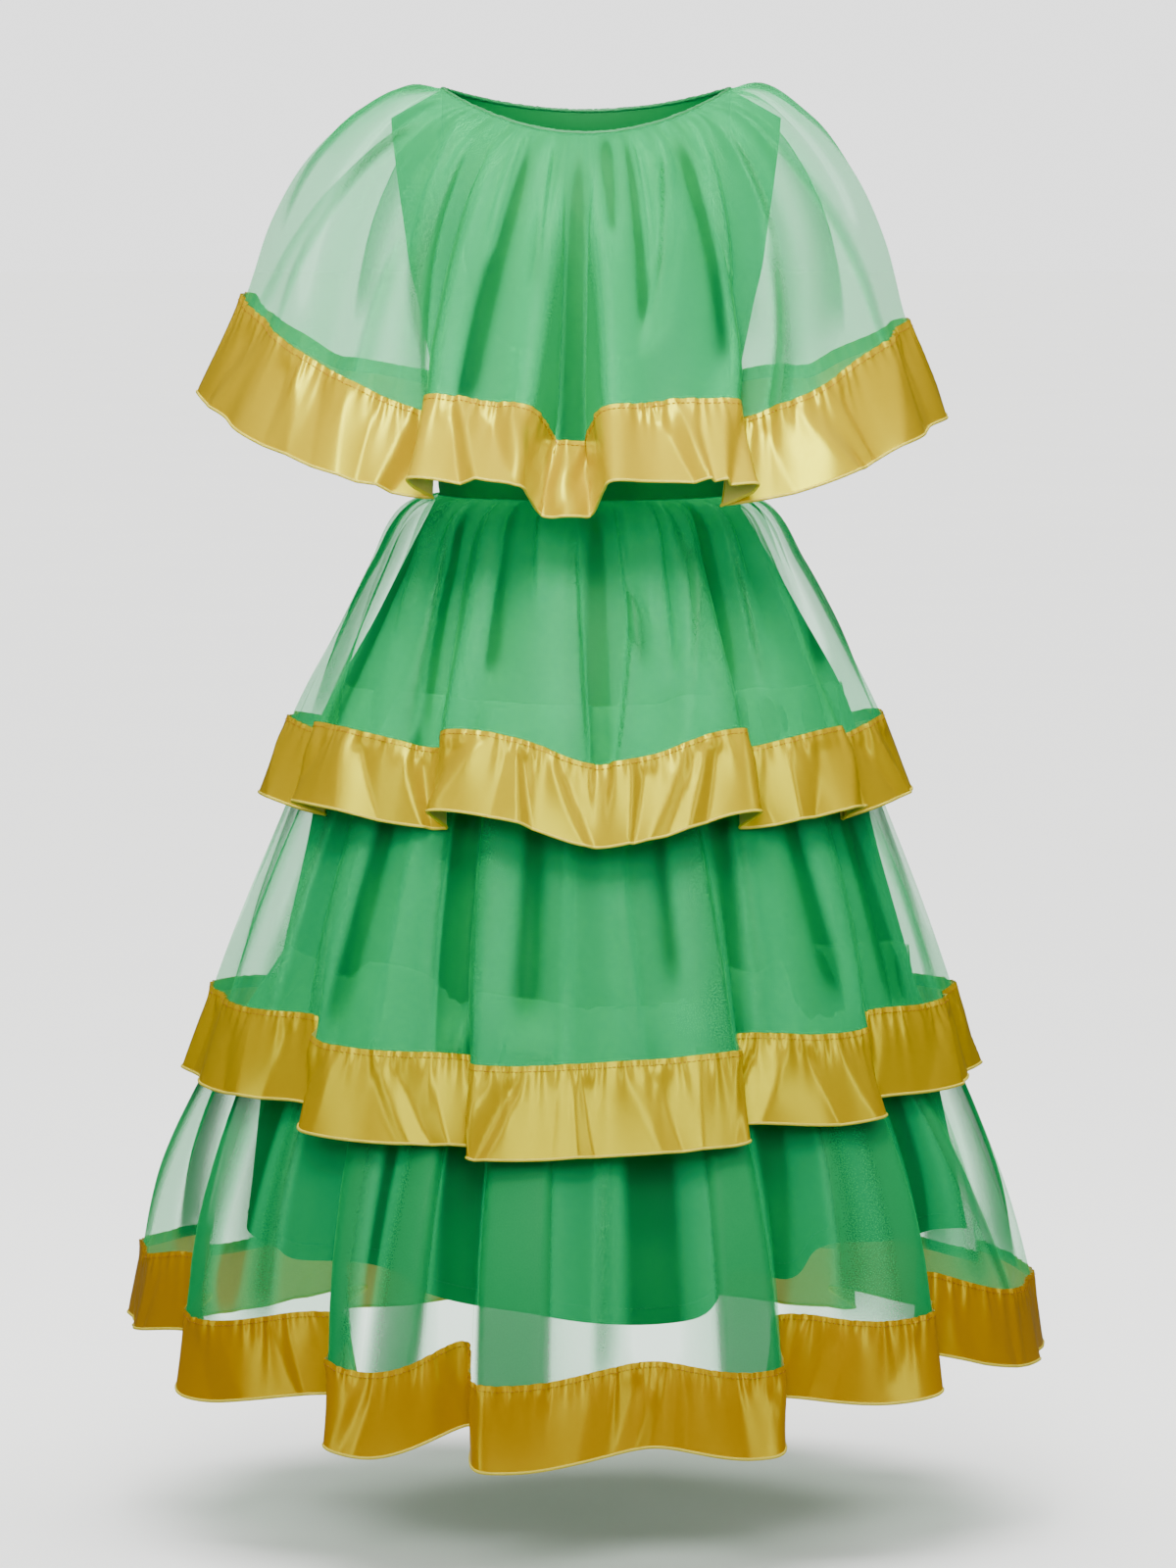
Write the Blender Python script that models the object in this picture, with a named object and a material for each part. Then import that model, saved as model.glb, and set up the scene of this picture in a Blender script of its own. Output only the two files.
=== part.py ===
"""A child's tiered organza costume dress, filled out as if worn, with nobody in it.

A gathered cape hangs from the neckline over a sleeveless bodice. Below the waist seam an
underskirt carries three gathered tiers, and the cape and each tier end in a satin ribbon.
Units are metres, +Z is up and the front faces -Y. The origin lies between the tops of the
shoulders, where the wearer holds the dress up. Angles are in degrees round the dress, from
0 at the front through +90 at the +X side.
"""

from dataclasses import dataclass

import bmesh
import bpy
import numpy as np

# Driving sizes
WALL = 0.0010  # every cloth wall
SEAM_GAP = 0.0003  # between pieces that are sewn together
RIBBON_LAP = 0.008  # how far a ribbon covers the edge of the organza that it is sewn to
NECK_SIDE, NECK_FRONT, NECK_BACK = 0.102, 0.070, 0.065
NECK_DIP_FRONT, NECK_DIP_BACK = 0.0305, 0.016
SHOULDER_TIP, SHOULDER_DROP = 0.139, 0.020
NECK_SHARE = 0.80  # of half a bodice panel's width; beyond it lies the shoulder seam
CHEST_FROM = 0.25  # of the way down, where a panel has turned from the neckline to the chest
WAIST_Z = -0.286
BINDING_RADIUS = 0.0015
SEAT = 0.0005  # added where a tier's gathered edge lies round the underskirt
SEATED_TO = 0.1  # how far down a tier still follows the underskirt

# How finely the cloth is divided
COLUMNS_A_GATHER = 4
UNDERSKIRT_COLUMNS = 72
BINDING_COLUMNS, BINDING_SIDES = 48, 6
PANEL_COLUMNS = (*np.linspace(0, NECK_SHARE, 9), 0.9, 1.0)  # from the middle to a side edge
PANEL_ROWS = (0.0, 0.05, 0.12, 0.22, 0.34, 0.48, 0.72, 1.0)
FOLLOW_HEM = 0.7  # how far the columns of a tube crowd into its folds, from 0 to 1
HEM_SAMPLES = 2881  # places round a hem between which its length is added up
TINY = 1e-4  # the step over which a panel's slope is measured
SMOOTH_UP_TO = 50  # degrees: edges sharper than this look creased

# Each look is a colour and a roughness
GREEN_ORGANZA = (0.05, 0.62, 0.20), 0.55
GREEN_SATIN = (0.02, 0.45, 0.13), 0.40
GOLD_SATIN = (0.85, 0.56, 0.05), 0.28


def columns(names, *rows):
    """A short table: the name of each column, and its numbers from top to bottom."""
    return dict(zip(names.split(), np.array(rows, float).T))


# Each row is one ring of the cloth, from its seam at 0 to its bottom edge at 1: the half width,
# the depths in front of and behind the origin, and the heights of the ring there.
RING = "along side front back z_side z_front z_back"
CAPE_RINGS = columns(
    RING,
    (0.00, 0.1020, 0.0700, 0.0650, 0.0000, -0.0305, -0.0160),
    (0.07, 0.1235, 0.0890, 0.0860, -0.0002, -0.0480, -0.0310),
    (0.21, 0.1580, 0.1070, 0.1030, -0.0180, -0.0880, -0.0730),
    (0.36, 0.1900, 0.1200, 0.1170, -0.0490, -0.1320, -0.1190),
    (0.55, 0.2165, 0.1360, 0.1340, -0.0970, -0.1800, -0.1710),
    (0.74, 0.2335, 0.1560, 0.1540, -0.1520, -0.2185, -0.2150),
    (1.00, 0.2640, 0.2000, 0.1950, -0.2210, -0.2695, -0.2680),
)
TIER_1_RINGS = columns(
    RING,
    (0.00, 0.1056, 0.0836, 0.0836, -0.2866, -0.2866, -0.2866),
    (0.07, 0.1240, 0.0990, 0.0990, -0.2935, -0.2925, -0.2925),
    (0.27, 0.1540, 0.1250, 0.1240, -0.3380, -0.3390, -0.3390),
    (0.50, 0.1810, 0.1500, 0.1480, -0.3870, -0.3910, -0.3900),
    (0.77, 0.2105, 0.1800, 0.1770, -0.4450, -0.4450, -0.4480),
    (1.00, 0.2330, 0.2000, 0.1970, -0.4990, -0.5000, -0.5030),
)
TIER_2_RINGS = columns(
    RING,
    (0.00, 0.1770, 0.1395, 0.1380, -0.4250, -0.4250, -0.4250),
    (0.10, 0.1890, 0.1490, 0.1480, -0.4500, -0.4500, -0.4500),
    (0.30, 0.2110, 0.1640, 0.1620, -0.5030, -0.5060, -0.5050),
    (0.55, 0.2400, 0.1950, 0.1920, -0.5760, -0.5820, -0.5800),
    (0.79, 0.2640, 0.2250, 0.2220, -0.6430, -0.6560, -0.6500),
    (1.00, 0.2840, 0.2460, 0.2430, -0.7010, -0.7180, -0.7100),
)
TIER_3_RINGS = columns(
    RING,
    (0.00, 0.2205, 0.1735, 0.1720, -0.6250, -0.6250, -0.6250),
    (0.10, 0.2380, 0.1880, 0.1860, -0.6500, -0.6510, -0.6510),
    (0.32, 0.2720, 0.2180, 0.2160, -0.7130, -0.7150, -0.7150),
    (0.56, 0.3010, 0.2520, 0.2500, -0.7820, -0.7930, -0.7930),
    (0.80, 0.3200, 0.2820, 0.2800, -0.8470, -0.8760, -0.8760),
    (1.00, 0.3310, 0.2990, 0.2970, -0.9000, -0.9330, -0.9330),
)
UNDERSKIRT_RINGS = columns(
    RING,
    (0.00, 0.1050, 0.0830, 0.0830, -0.2863, -0.2863, -0.2863),
    (0.15, 0.1480, 0.1160, 0.1150, -0.3680, -0.3680, -0.3680),
    (0.28, 0.1830, 0.1430, 0.1420, -0.4400, -0.4400, -0.4400),
    (0.45, 0.1980, 0.1560, 0.1540, -0.5320, -0.5340, -0.5340),
    (0.65, 0.2240, 0.1750, 0.1740, -0.6420, -0.6450, -0.6450),
    (0.82, 0.2430, 0.1920, 0.1910, -0.7360, -0.7420, -0.7420),
    (1.00, 0.2590, 0.2140, 0.2120, -0.8330, -0.8420, -0.8420),
)

# Each row is one fold, at an angle round the dress. At the bottom edge it sinks by depth below
# the crests beside it and spreads over the angles left and right. The edge hangs lower there by
# drop, and the floor of the fold is tucked sideways under a crest by the angle tuck.
FOLD = "turn depth left right drop tuck"
CAPE_FOLDS = columns(
    FOLD,
    (-164, 0.030, 4.0, 8.0, 0.012, -4.0),
    (-128, 0.022, 9.0, 4.0, 0.006, 4.0),
    (-98, 0.008, 7.0, 6.0, 0.000, 0.0),
    (-70, 0.006, 6.0, 5.0, 0.000, 0.0),
    (-50, 0.007, 6.0, 5.0, 0.002, 0.0),
    (-30.5, 0.037, 9.0, 3.0, 0.014, 3.4),
    (-14, 0.006, 6.0, 4.0, 0.002, 0.0),
    (-4.5, 0.040, 2.4, 2.8, 0.019, -2.0),
    (-1.2, 0.014, 3.0, 3.0, 0.014, 0.0),
    (2, 0.040, 2.8, 2.4, 0.019, 2.0),
    (13, 0.009, 6.0, 5.0, 0.002, 0.0),
    (34.5, 0.036, 3.2, 9.0, 0.016, -7.0),
    (55, 0.007, 5.0, 6.0, 0.002, 0.0),
    (76, 0.006, 5.0, 6.0, 0.000, 0.0),
    (101, 0.008, 6.0, 7.0, 0.000, 0.0),
    (131, 0.022, 4.0, 9.0, 0.008, -4.0),
    (154, 0.014, 6.0, 4.0, 0.004, 2.0),
    (176, 0.034, 3.0, 4.0, 0.016, 2.0),
)
TIER_1_FOLDS = columns(
    FOLD,
    (-171, 0.022, 4.0, 9.0, 0.008, -5.0),
    (-145, 0.026, 3.5, 9.0, 0.010, -5.0),
    (-117, 0.018, 3.5, 9.0, 0.008, -5.0),
    (-94, 0.008, 6.0, 5.0, 0.000, 0.0),
    (-69.5, 0.021, 9.0, 3.8, 0.010, 10.0),
    (-32.5, 0.029, 10.0, 3.0, 0.013, 4.0),
    (-1, 0.004, 8.0, 8.0, 0.000, 0.0),
    (36, 0.028, 3.0, 9.0, 0.013, -4.5),
    (64.5, 0.021, 3.6, 9.0, 0.012, -7.5),
    (92, 0.008, 5.0, 6.0, 0.000, 0.0),
    (118, 0.017, 9.0, 3.5, 0.008, 5.0),
    (146, 0.026, 9.0, 3.5, 0.010, 5.0),
    (171, 0.017, 9.0, 4.0, 0.006, 5.0),
)
TIER_2_FOLDS = columns(
    FOLD,
    (-160, 0.022, 3.0, 9.0, -0.004, -5.0),
    (-133, 0.018, 3.5, 9.0, -0.002, -4.0),
    (-104, 0.009, 4.0, 8.0, 0.000, 0.0),
    (-76, 0.008, 7.0, 4.0, 0.000, 0.0),
    (-49.5, 0.018, 10.0, 3.4, -0.012, 5.0),
    (-20.5, 0.021, 10.0, 2.6, -0.004, 6.0),
    (3, 0.006, 7.0, 7.0, 0.000, 0.0),
    (28.5, 0.023, 2.8, 9.0, -0.008, -4.5),
    (53.5, 0.019, 3.4, 9.0, -0.007, -5.0),
    (80, 0.008, 4.0, 7.0, 0.000, 0.0),
    (106, 0.009, 8.0, 4.0, 0.000, 0.0),
    (137, 0.020, 9.0, 3.5, -0.003, 4.0),
    (168, 0.022, 9.0, 3.0, -0.005, 5.0),
)
TIER_3_FOLDS = columns(
    FOLD,
    (-168, 0.034, 4.0, 9.0, -0.018, -5.0),
    (-141, 0.034, 3.0, 10.0, -0.020, -5.0),
    (-113, 0.022, 3.0, 10.0, -0.014, -4.0),
    (-86, 0.008, 6.0, 5.0, 0.000, 0.0),
    (-66, 0.027, 10.0, 3.2, -0.028, 4.5),
    (-37.5, 0.036, 12.0, 2.6, -0.024, 6.0),
    (-18.5, 0.038, 5.0, 3.2, -0.026, 3.0),
    (9, 0.016, 6.0, 6.0, 0.000, 0.0),
    (30, 0.040, 3.3, 10.0, -0.028, -5.5),
    (54, 0.030, 3.2, 9.0, -0.024, -5.5),
    (82, 0.008, 5.0, 6.0, 0.000, 0.0),
    (108, 0.022, 10.0, 3.0, -0.012, 4.0),
    (137, 0.034, 10.0, 3.0, -0.020, 5.0),
    (163, 0.032, 9.0, 3.5, -0.018, 5.0),
)
UNDERSKIRT_FOLDS = columns(
    FOLD,
    (-150, 0.016, 6.0, 12.0, -0.008, 0.0),
    (-108, 0.010, 9.0, 9.0, 0.000, 0.0),
    (-70, 0.009, 8.0, 8.0, 0.000, 0.0),
    (-37, 0.016, 10.0, 5.0, 0.000, 0.0),
    (-14, 0.009, 7.0, 7.0, 0.000, 0.0),
    (21.5, 0.016, 4.0, 6.0, -0.022, 0.0),
    (36, 0.010, 4.0, 9.0, -0.012, 0.0),
    (66, 0.009, 9.0, 9.0, 0.000, 0.0),
    (104, 0.010, 9.0, 9.0, 0.000, 0.0),
    (142, 0.016, 12.0, 6.0, -0.008, 0.0),
    (174, 0.012, 8.0, 8.0, -0.006, 0.0),
)

# Each row is one place round a bottom edge and the height at which the crests end there.
HEM = "turn level"
CAPE_HEM = columns(
    HEM,
    (-180, -0.268),
    (-135, -0.252),
    (-90, -0.213),
    (-66, -0.2325),
    (-48, -0.2530),
    (-34, -0.2660),
    (-22, -0.2635),
    (0, -0.2680),
    (18, -0.2645),
    (30, -0.2690),
    (44, -0.2680),
    (60, -0.2480),
    (90, -0.2310),
    (135, -0.2540),
)
TIER_1_HEM = columns(
    HEM,
    (-180, -0.503),
    (-135, -0.503),
    (-90, -0.4980),
    (-63, -0.4955),
    (-40, -0.4985),
    (-22, -0.4940),
    (-12, -0.5000),
    (1, -0.5170),
    (12, -0.5110),
    (25, -0.4960),
    (45, -0.4985),
    (60, -0.4965),
    (90, -0.4955),
    (135, -0.503),
)
TIER_2_HEM = columns(
    HEM,
    (-180, -0.716),
    (-135, -0.710),
    (-90, -0.6955),
    (-66, -0.7000),
    (-44, -0.7165),
    (-30, -0.7220),
    (-15, -0.7275),
    (0, -0.7255),
    (22, -0.7190),
    (35, -0.7140),
    (48, -0.7090),
    (64, -0.7000),
    (90, -0.6950),
    (135, -0.708),
)
TIER_3_HEM = columns(
    HEM,
    (-180, -0.925),
    (-150, -0.918),
    (-120, -0.905),
    (-90, -0.8780),
    (-75, -0.8850),
    (-60, -0.9070),
    (-44, -0.9130),
    (-28, -0.9300),
    (-8, -0.9335),
    (8, -0.9185),
    (20, -0.9270),
    (36, -0.9150),
    (48, -0.8990),
    (64, -0.8960),
    (90, -0.8990),
    (120, -0.908),
    (150, -0.918),
)
UNDERSKIRT_HEM = columns(
    HEM,
    (-180, -0.840),
    (-135, -0.832),
    (-90, -0.8120),
    (-60, -0.8180),
    (-42, -0.8150),
    (-28, -0.8300),
    (-12, -0.8410),
    (14, -0.8430),
    (26, -0.8290),
    (42, -0.8060),
    (66, -0.8020),
    (90, -0.8140),
    (135, -0.832),
)

# Each row is one level of the bodice, from the waist up: the half width of its outline, its
# depths at the front and back, and how far the armhole's edges stand from the side.
BODICE = columns(
    "z side front back armhole",
    (-0.286, 0.105, 0.083, 0.083, 0.000),
    (-0.215, 0.107, 0.087, 0.084, 0.000),
    (-0.150, 0.119, 0.092, 0.088, 0.000),
    (-0.125, 0.124, 0.092, 0.088, 0.027),
    (-0.095, 0.128, 0.089, 0.086, 0.034),
    (-0.060, 0.133, 0.081, 0.078, 0.033),
    (-0.030, 0.137, 0.070, 0.067, 0.020),
    (0.000, 0.139, 0.065, 0.060, 0.000),
)


@dataclass
class Cloth:
    """A gathered tube of cloth: its rings, its folds and the small gathers at its seam."""

    rings: dict
    folds: dict
    hem: dict
    shift: float = 0.0  # how far the bottom edge sits towards +X
    growth: float = 1.3  # the folds deepen with this power of the way down
    gathers: int = 0  # how many small waves the seam has, all round
    gather_height: float = 0.0
    gather_at: float = 0.12  # where along the cloth the gathers stand highest
    carrier: object = None  # the cloth that the seam is sewn to
    carried_at: float = 0.0  # where along that cloth the seam runs


UNDERSKIRT = Cloth(UNDERSKIRT_RINGS, UNDERSKIRT_FOLDS, UNDERSKIRT_HEM, shift=0.015, growth=1.6)
CAPE = Cloth(CAPE_RINGS, CAPE_FOLDS, CAPE_HEM, shift=-0.0095, growth=1.35)
TIER_1 = Cloth(TIER_1_RINGS, TIER_1_FOLDS, TIER_1_HEM, growth=1.25)
TIER_2 = Cloth(TIER_2_RINGS, TIER_2_FOLDS, TIER_2_HEM, shift=-0.003)
TIER_3 = Cloth(TIER_3_RINGS, TIER_3_FOLDS, TIER_3_HEM)
CAPE.gathers, CAPE.gather_height, CAPE.gather_at = 30, 0.0020, 0.09
TIER_1.gathers, TIER_1.gather_height = 26, 0.0026
TIER_2.gathers, TIER_2.gather_height = 23, 0.0016
TIER_3.gathers, TIER_3.gather_height = 23, 0.0016
TIER_2.carrier, TIER_2.carried_at = UNDERSKIRT, 0.252
TIER_3.carrier, TIER_3.carried_at = UNDERSKIRT, 0.620


def unit(vectors):
    """The same directions at length 1."""
    return vectors / np.linalg.norm(vectors, axis=-1, keepdims=True)


def smooth_step(x):
    """Rises smoothly from 0 to 1 as x does."""
    x = np.clip(x, 0.0, 1.0)
    return x * x * (3 - 2 * x)


def follow(x, knots, values):
    """A smooth curve through a table's rows, read at x."""
    slopes = np.gradient(values, knots)
    i = np.clip(np.searchsorted(knots, x, side="right") - 1, 0, len(knots) - 2)
    gap = knots[i + 1] - knots[i]
    t = np.clip((x - knots[i]) / gap, 0.0, 1.0)
    rise = values[i] * (1 + 2 * t) * (1 - t) ** 2 + values[i + 1] * t * t * (3 - 2 * t)
    return rise + gap * (slopes[i] * t * (1 - t) ** 2 - slopes[i + 1] * t * t * (1 - t))


def follow_round(turn, table):
    """The same for a table of levels at angles, which goes on round the dress."""
    knots = np.concatenate([table["turn"] - 360, table["turn"], table["turn"] + 360])
    return follow(turn, knots, np.tile(table["level"], 3))


def fold_amounts(folds, turn):
    """How much depth, drop and tuck the folds give at an angle."""
    amounts = {name: np.zeros_like(turn) for name in ("depth", "drop", "tuck")}
    for i, at in enumerate(folds["turn"]):
        away = (turn - at + 180) % 360 - 180
        spread = np.where(away < 0, folds["left"][i], folds["right"][i])
        share = np.exp(-((away / spread) ** 2))
        for name, amount in amounts.items():
            amount += folds[name][i] * share
    return amounts


def ring_level(turn, side, front, back):
    """The height of a ring at an angle, from its heights at the side, front and back."""
    facing = np.cos(np.radians(turn)) ** 2
    return side + facing * (np.where(np.abs(turn) < 90, front, back) - side)


def fold_points(cloth, turn, along):
    """Points of the cloth at angles and ways down, without its small gathers."""
    ring = {name: follow(along, cloth.rings["along"], cloth.rings[name]) for name in RING.split()}
    folds = fold_amounts(cloth.folds, turn)
    grown = along**cloth.growth
    angle = np.radians(turn + folds["tuck"] * grown**2)
    in_front = np.cos(angle) > 0
    x = ring["side"] * np.sin(angle)
    y = -np.where(in_front, ring["front"], ring["back"]) * np.cos(angle)
    drawn_in = 1 - folds["depth"] * grown / np.hypot(x, y)
    heights = ("z_side", "z_front", "z_back")
    z = ring_level(turn, *(ring[name] for name in heights))
    even_end = ring_level(turn, *(cloth.rings[name][-1] for name in heights))
    settled = smooth_step(along / cloth.rings["along"][-2])
    z = z + settled * (follow_round(turn, cloth.hem) - even_end - folds["drop"])
    return np.stack([x * drawn_in + cloth.shift * along, y * drawn_in, z], axis=-1)


def spread_turns(cloth, count):
    """Angles for the columns of a tube: closer together where the bottom edge is folded."""
    turn = np.linspace(-180, 180, HEM_SAMPLES)
    edge = fold_points(cloth, turn, np.ones_like(turn))
    steps = np.linalg.norm(np.diff(edge, axis=0), axis=1)
    way = np.concatenate([[0], np.cumsum(steps)]) / steps.sum()
    way = FOLLOW_HEM * way + (1 - FOLLOW_HEM) * (turn + 180) / 360
    return np.interp(np.arange(count) / count, way, turn)


def cloth_rows(cloth, count, alongs):
    """Rows of points down the cloth, and its unit normals away from the wearer."""
    turn, along = np.meshgrid(spread_turns(cloth, count), np.array(alongs, float))
    points = fold_points(cloth, turn, along)
    if cloth.carrier is not None:
        seat = fold_points(cloth.carrier, turn, np.full_like(turn, cloth.carried_at))
        seat[..., :2] *= 1 + SEAT / np.hypot(seat[..., 0], seat[..., 1])[..., None]
        held = (1 - smooth_step(along / SEATED_TO))[..., None]
        points = points * (1 - held) + seat * held
    pace = (np.roll(turn, -1, axis=1) - np.roll(turn, 1, axis=1)) % 360 / (2 * 360 / count)
    rise = along / cloth.gather_at * np.exp(1 - along / cloth.gather_at)
    wave = np.sin(2 * np.pi * cloth.gathers * np.arange(count) / count)
    wave = wave * cloth.gather_height * rise * np.minimum(pace, 1.0) ** 2
    points[..., :2] *= 1 + (wave / np.hypot(points[..., 0], points[..., 1]))[..., None]
    across = np.roll(points, -1, axis=1) - np.roll(points, 1, axis=1)
    return points, unit(np.cross(np.gradient(points, axis=0), across))


def finish(name, mesh_in_work, look):
    """Turns a bmesh into a smooth-shaded object with a material of its own."""
    bmesh.ops.recalc_face_normals(mesh_in_work, faces=mesh_in_work.faces)
    mesh = bpy.data.meshes.new(name)
    mesh_in_work.to_mesh(mesh)
    mesh_in_work.free()
    mesh.shade_smooth()
    mesh.set_sharp_from_angle(angle=np.radians(SMOOTH_UP_TO))
    colour, roughness = look
    material = bpy.data.materials.new(name)
    material.use_nodes = True
    shader = material.node_tree.nodes["Principled BSDF"]
    shader.inputs["Base Color"].default_value = (*colour, 1.0)
    shader.inputs["Roughness"].default_value = roughness
    shader.inputs["Metallic"].default_value = 0.0
    mesh.materials.append(material)
    item = bpy.data.objects.new(name, mesh)
    bpy.context.scene.collection.objects.link(item)


def wall(name, outer, inner, closed, look):
    """A cloth wall between two grids of points, with rows downward and columns round it."""
    work = bmesh.new()
    rows, count = outer.shape[:2]
    skins = [[[work.verts.new(p) for p in row] for row in grid] for grid in (outer, inner)]
    pairs = [(i, (i + 1) % count) for i in range(count if closed else count - 1)]
    for row in range(rows - 1):
        for i, j in pairs:
            for skin in skins:
                work.faces.new((skin[row][i], skin[row][j], skin[row + 1][i]))
                work.faces.new((skin[row][j], skin[row + 1][j], skin[row + 1][i]))
    for row in (0, rows - 1):
        for i, j in pairs:
            work.faces.new((skins[0][row][i], skins[0][row][j], skins[1][row][j], skins[1][row][i]))
    if not closed:
        for i in (0, count - 1):
            for row in range(rows - 1):
                rim = [skins[0][row][i], skins[0][row + 1][i], skins[1][row + 1][i], skins[1][row][i]]
                work.faces.new(rim)
    finish(name, work, look)


def cloth_tube(name, points, normals, gap, look):
    """A closed wall on rows of points, its inner face at a gap outside them."""
    wall(name, points + normals * (gap + WALL), points + normals * gap, True, look)


def edged(name, cloth, alongs):
    """The organza of a cape or tier, and the ribbon that laps its bottom edge."""
    seam = cloth.rings["along"][-2]
    points, normals = cloth_rows(cloth, COLUMNS_A_GATHER * cloth.gathers, [*alongs, seam, 1.0])
    lap = RIBBON_LAP / np.linalg.norm(points[-1] - points[-2], axis=-1).mean()
    both = np.stack([points, normals])
    lapped = both[:, -2:-1] * (1 - lap) + both[:, -1:] * lap
    organza = np.concatenate([both[:, :-1], lapped], axis=1)
    ribbon = np.concatenate([both[:, -2:-1], lapped, both[:, -1:]], axis=1)
    cloth_tube(name, *organza, SEAM_GAP, GREEN_ORGANZA)
    cloth_tube(name + "_ribbon", *ribbon, 2 * SEAM_GAP + WALL, GOLD_SATIN)


def neck_points(turn):
    """The neckline, where the bodice and the cape meet the binding."""
    angle = np.radians(turn)
    in_front = np.cos(angle) > 0
    depth = np.where(in_front, NECK_FRONT, NECK_BACK)
    dip = np.where(in_front, NECK_DIP_FRONT, NECK_DIP_BACK)
    x, y, z = NECK_SIDE * np.sin(angle), -depth * np.cos(angle), -dip * np.cos(angle) ** 2
    return np.stack([x, y, z], axis=-1)


def bodice_points(facing, across, down):
    """Points of a bodice panel: across from -1 to 1 at its side edges, down from 0 to 1."""
    to_neck_end = 90 * np.clip(across / NECK_SHARE, -1, 1)
    neck = neck_points(to_neck_end if facing == "front" else 180 - to_neck_end)
    on_strap = np.clip((np.abs(across) - NECK_SHARE) / (1 - NECK_SHARE), 0, 1)
    top_x = neck[..., 0] + np.sign(across) * on_strap * (SHOULDER_TIP - NECK_SIDE)
    top_z = neck[..., 2] - on_strap * SHOULDER_DROP
    z = top_z + (WAIST_Z - top_z) * down
    level = {name: follow(z, BODICE["z"], BODICE[name]) for name in ("side", facing, "armhole")}
    share = top_x / SHOULDER_TIP
    share = share + (np.sin(np.pi / 2 * across) - share) * smooth_step(down)
    full = level[facing] ** 2 - level["armhole"] ** 2
    y = np.sqrt(np.maximum(full * (1 - share**2) + level["armhole"] ** 2, 0))
    held = (1 - np.clip(down / CHEST_FROM, 0, 1)) ** 2
    y = held * np.abs(neck[..., 1]) + (1 - held) * y
    return np.stack([share * level["side"], -y if facing == "front" else y, z], axis=-1)


def bodice_panel(facing):
    """The front or back of the bodice. The two part by a seam gap at the sides and shoulders."""
    columns_across = [*np.negative(PANEL_COLUMNS[:0:-1]), *PANEL_COLUMNS]
    across, down = np.meshgrid(columns_across, PANEL_ROWS)
    points = bodice_points(facing, across, down)
    fall = bodice_points(facing, across, down + TINY) - bodice_points(facing, across, down - TINY)
    inside = np.clip(across, -1 + TINY, 1 - TINY)
    run = bodice_points(facing, inside + TINY, down) - bodice_points(facing, inside - TINY, down)
    normal = unit(np.cross(fall, run) if facing == "front" else np.cross(run, fall))
    outer, inner = points, points - normal * WALL
    for grid in (outer, inner):
        if facing == "front":
            grid[..., 1] = np.minimum(grid[..., 1], -SEAM_GAP / 2)
        else:
            grid[..., 1] = np.maximum(grid[..., 1], SEAM_GAP / 2)
    wall("bodice_" + facing, outer, inner, False, GREEN_SATIN)


def neck_binding():
    """The narrow roll that covers the top edges of the bodice and the cape."""
    turn = np.arange(BINDING_COLUMNS) / BINDING_COLUMNS * 360 - 180
    edge = neck_points(turn)
    below = fold_points(CAPE, turn, np.full(BINDING_COLUMNS, CAPE.gather_at / 4))
    fall = unit(unit(below - edge) + [0, 0, -1])
    run = unit(np.roll(edge, -1, axis=0) - np.roll(edge, 1, axis=0))
    out = np.cross(fall, run)
    centre = edge - fall * (BINDING_RADIUS + 2 * SEAM_GAP)
    around = 2 * np.pi * np.arange(BINDING_SIDES) / BINDING_SIDES
    work = bmesh.new()
    rings = []
    for middle, down, side in zip(centre, fall, out):
        points = [middle + BINDING_RADIUS * (np.cos(a) * down + np.sin(a) * side) for a in around]
        rings.append([work.verts.new(point) for point in points])
    for here, after in zip(rings, rings[1:] + rings[:1]):
        for k in range(BINDING_SIDES):
            n = (k + 1) % BINDING_SIDES
            work.faces.new((here[k], here[n], after[n], after[k]))
    finish("neck_binding", work, GREEN_SATIN)


def build():
    """Makes every piece of the dress. The rows of a tube are shares of its way down."""
    for item in list(bpy.data.objects):
        bpy.data.objects.remove(item)
    bodice_panel("front")
    bodice_panel("back")
    neck_binding()
    rows = (0.0, 0.13, TIER_2.carried_at, 0.44, TIER_3.carried_at, 1.0)
    cloth_tube("underskirt", *cloth_rows(UNDERSKIRT, UNDERSKIRT_COLUMNS, rows), -WALL, GREEN_SATIN)
    edged("cape", CAPE, (0.0, 0.09, 0.22, 0.36, 0.54))
    edged("tier_1", TIER_1, (0.0, 0.12, 0.42))
    edged("tier_2", TIER_2, (0.0, 0.12, 0.45))
    edged("tier_3", TIER_3, (0.0, 0.12, 0.45))


build()
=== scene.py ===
"""Looks of a child's tiered organza costume dress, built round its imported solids.

Units are metres, +Z is up and the front faces -Y. Angles are in degrees round the dress, from 0
at the front through +90 at the +X side. Each sheet of cloth follows the rings and folds of its
solid, and adds the gathers, creases and seams that are too fine for it.
"""

from collections import namedtuple
from dataclasses import dataclass

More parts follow.
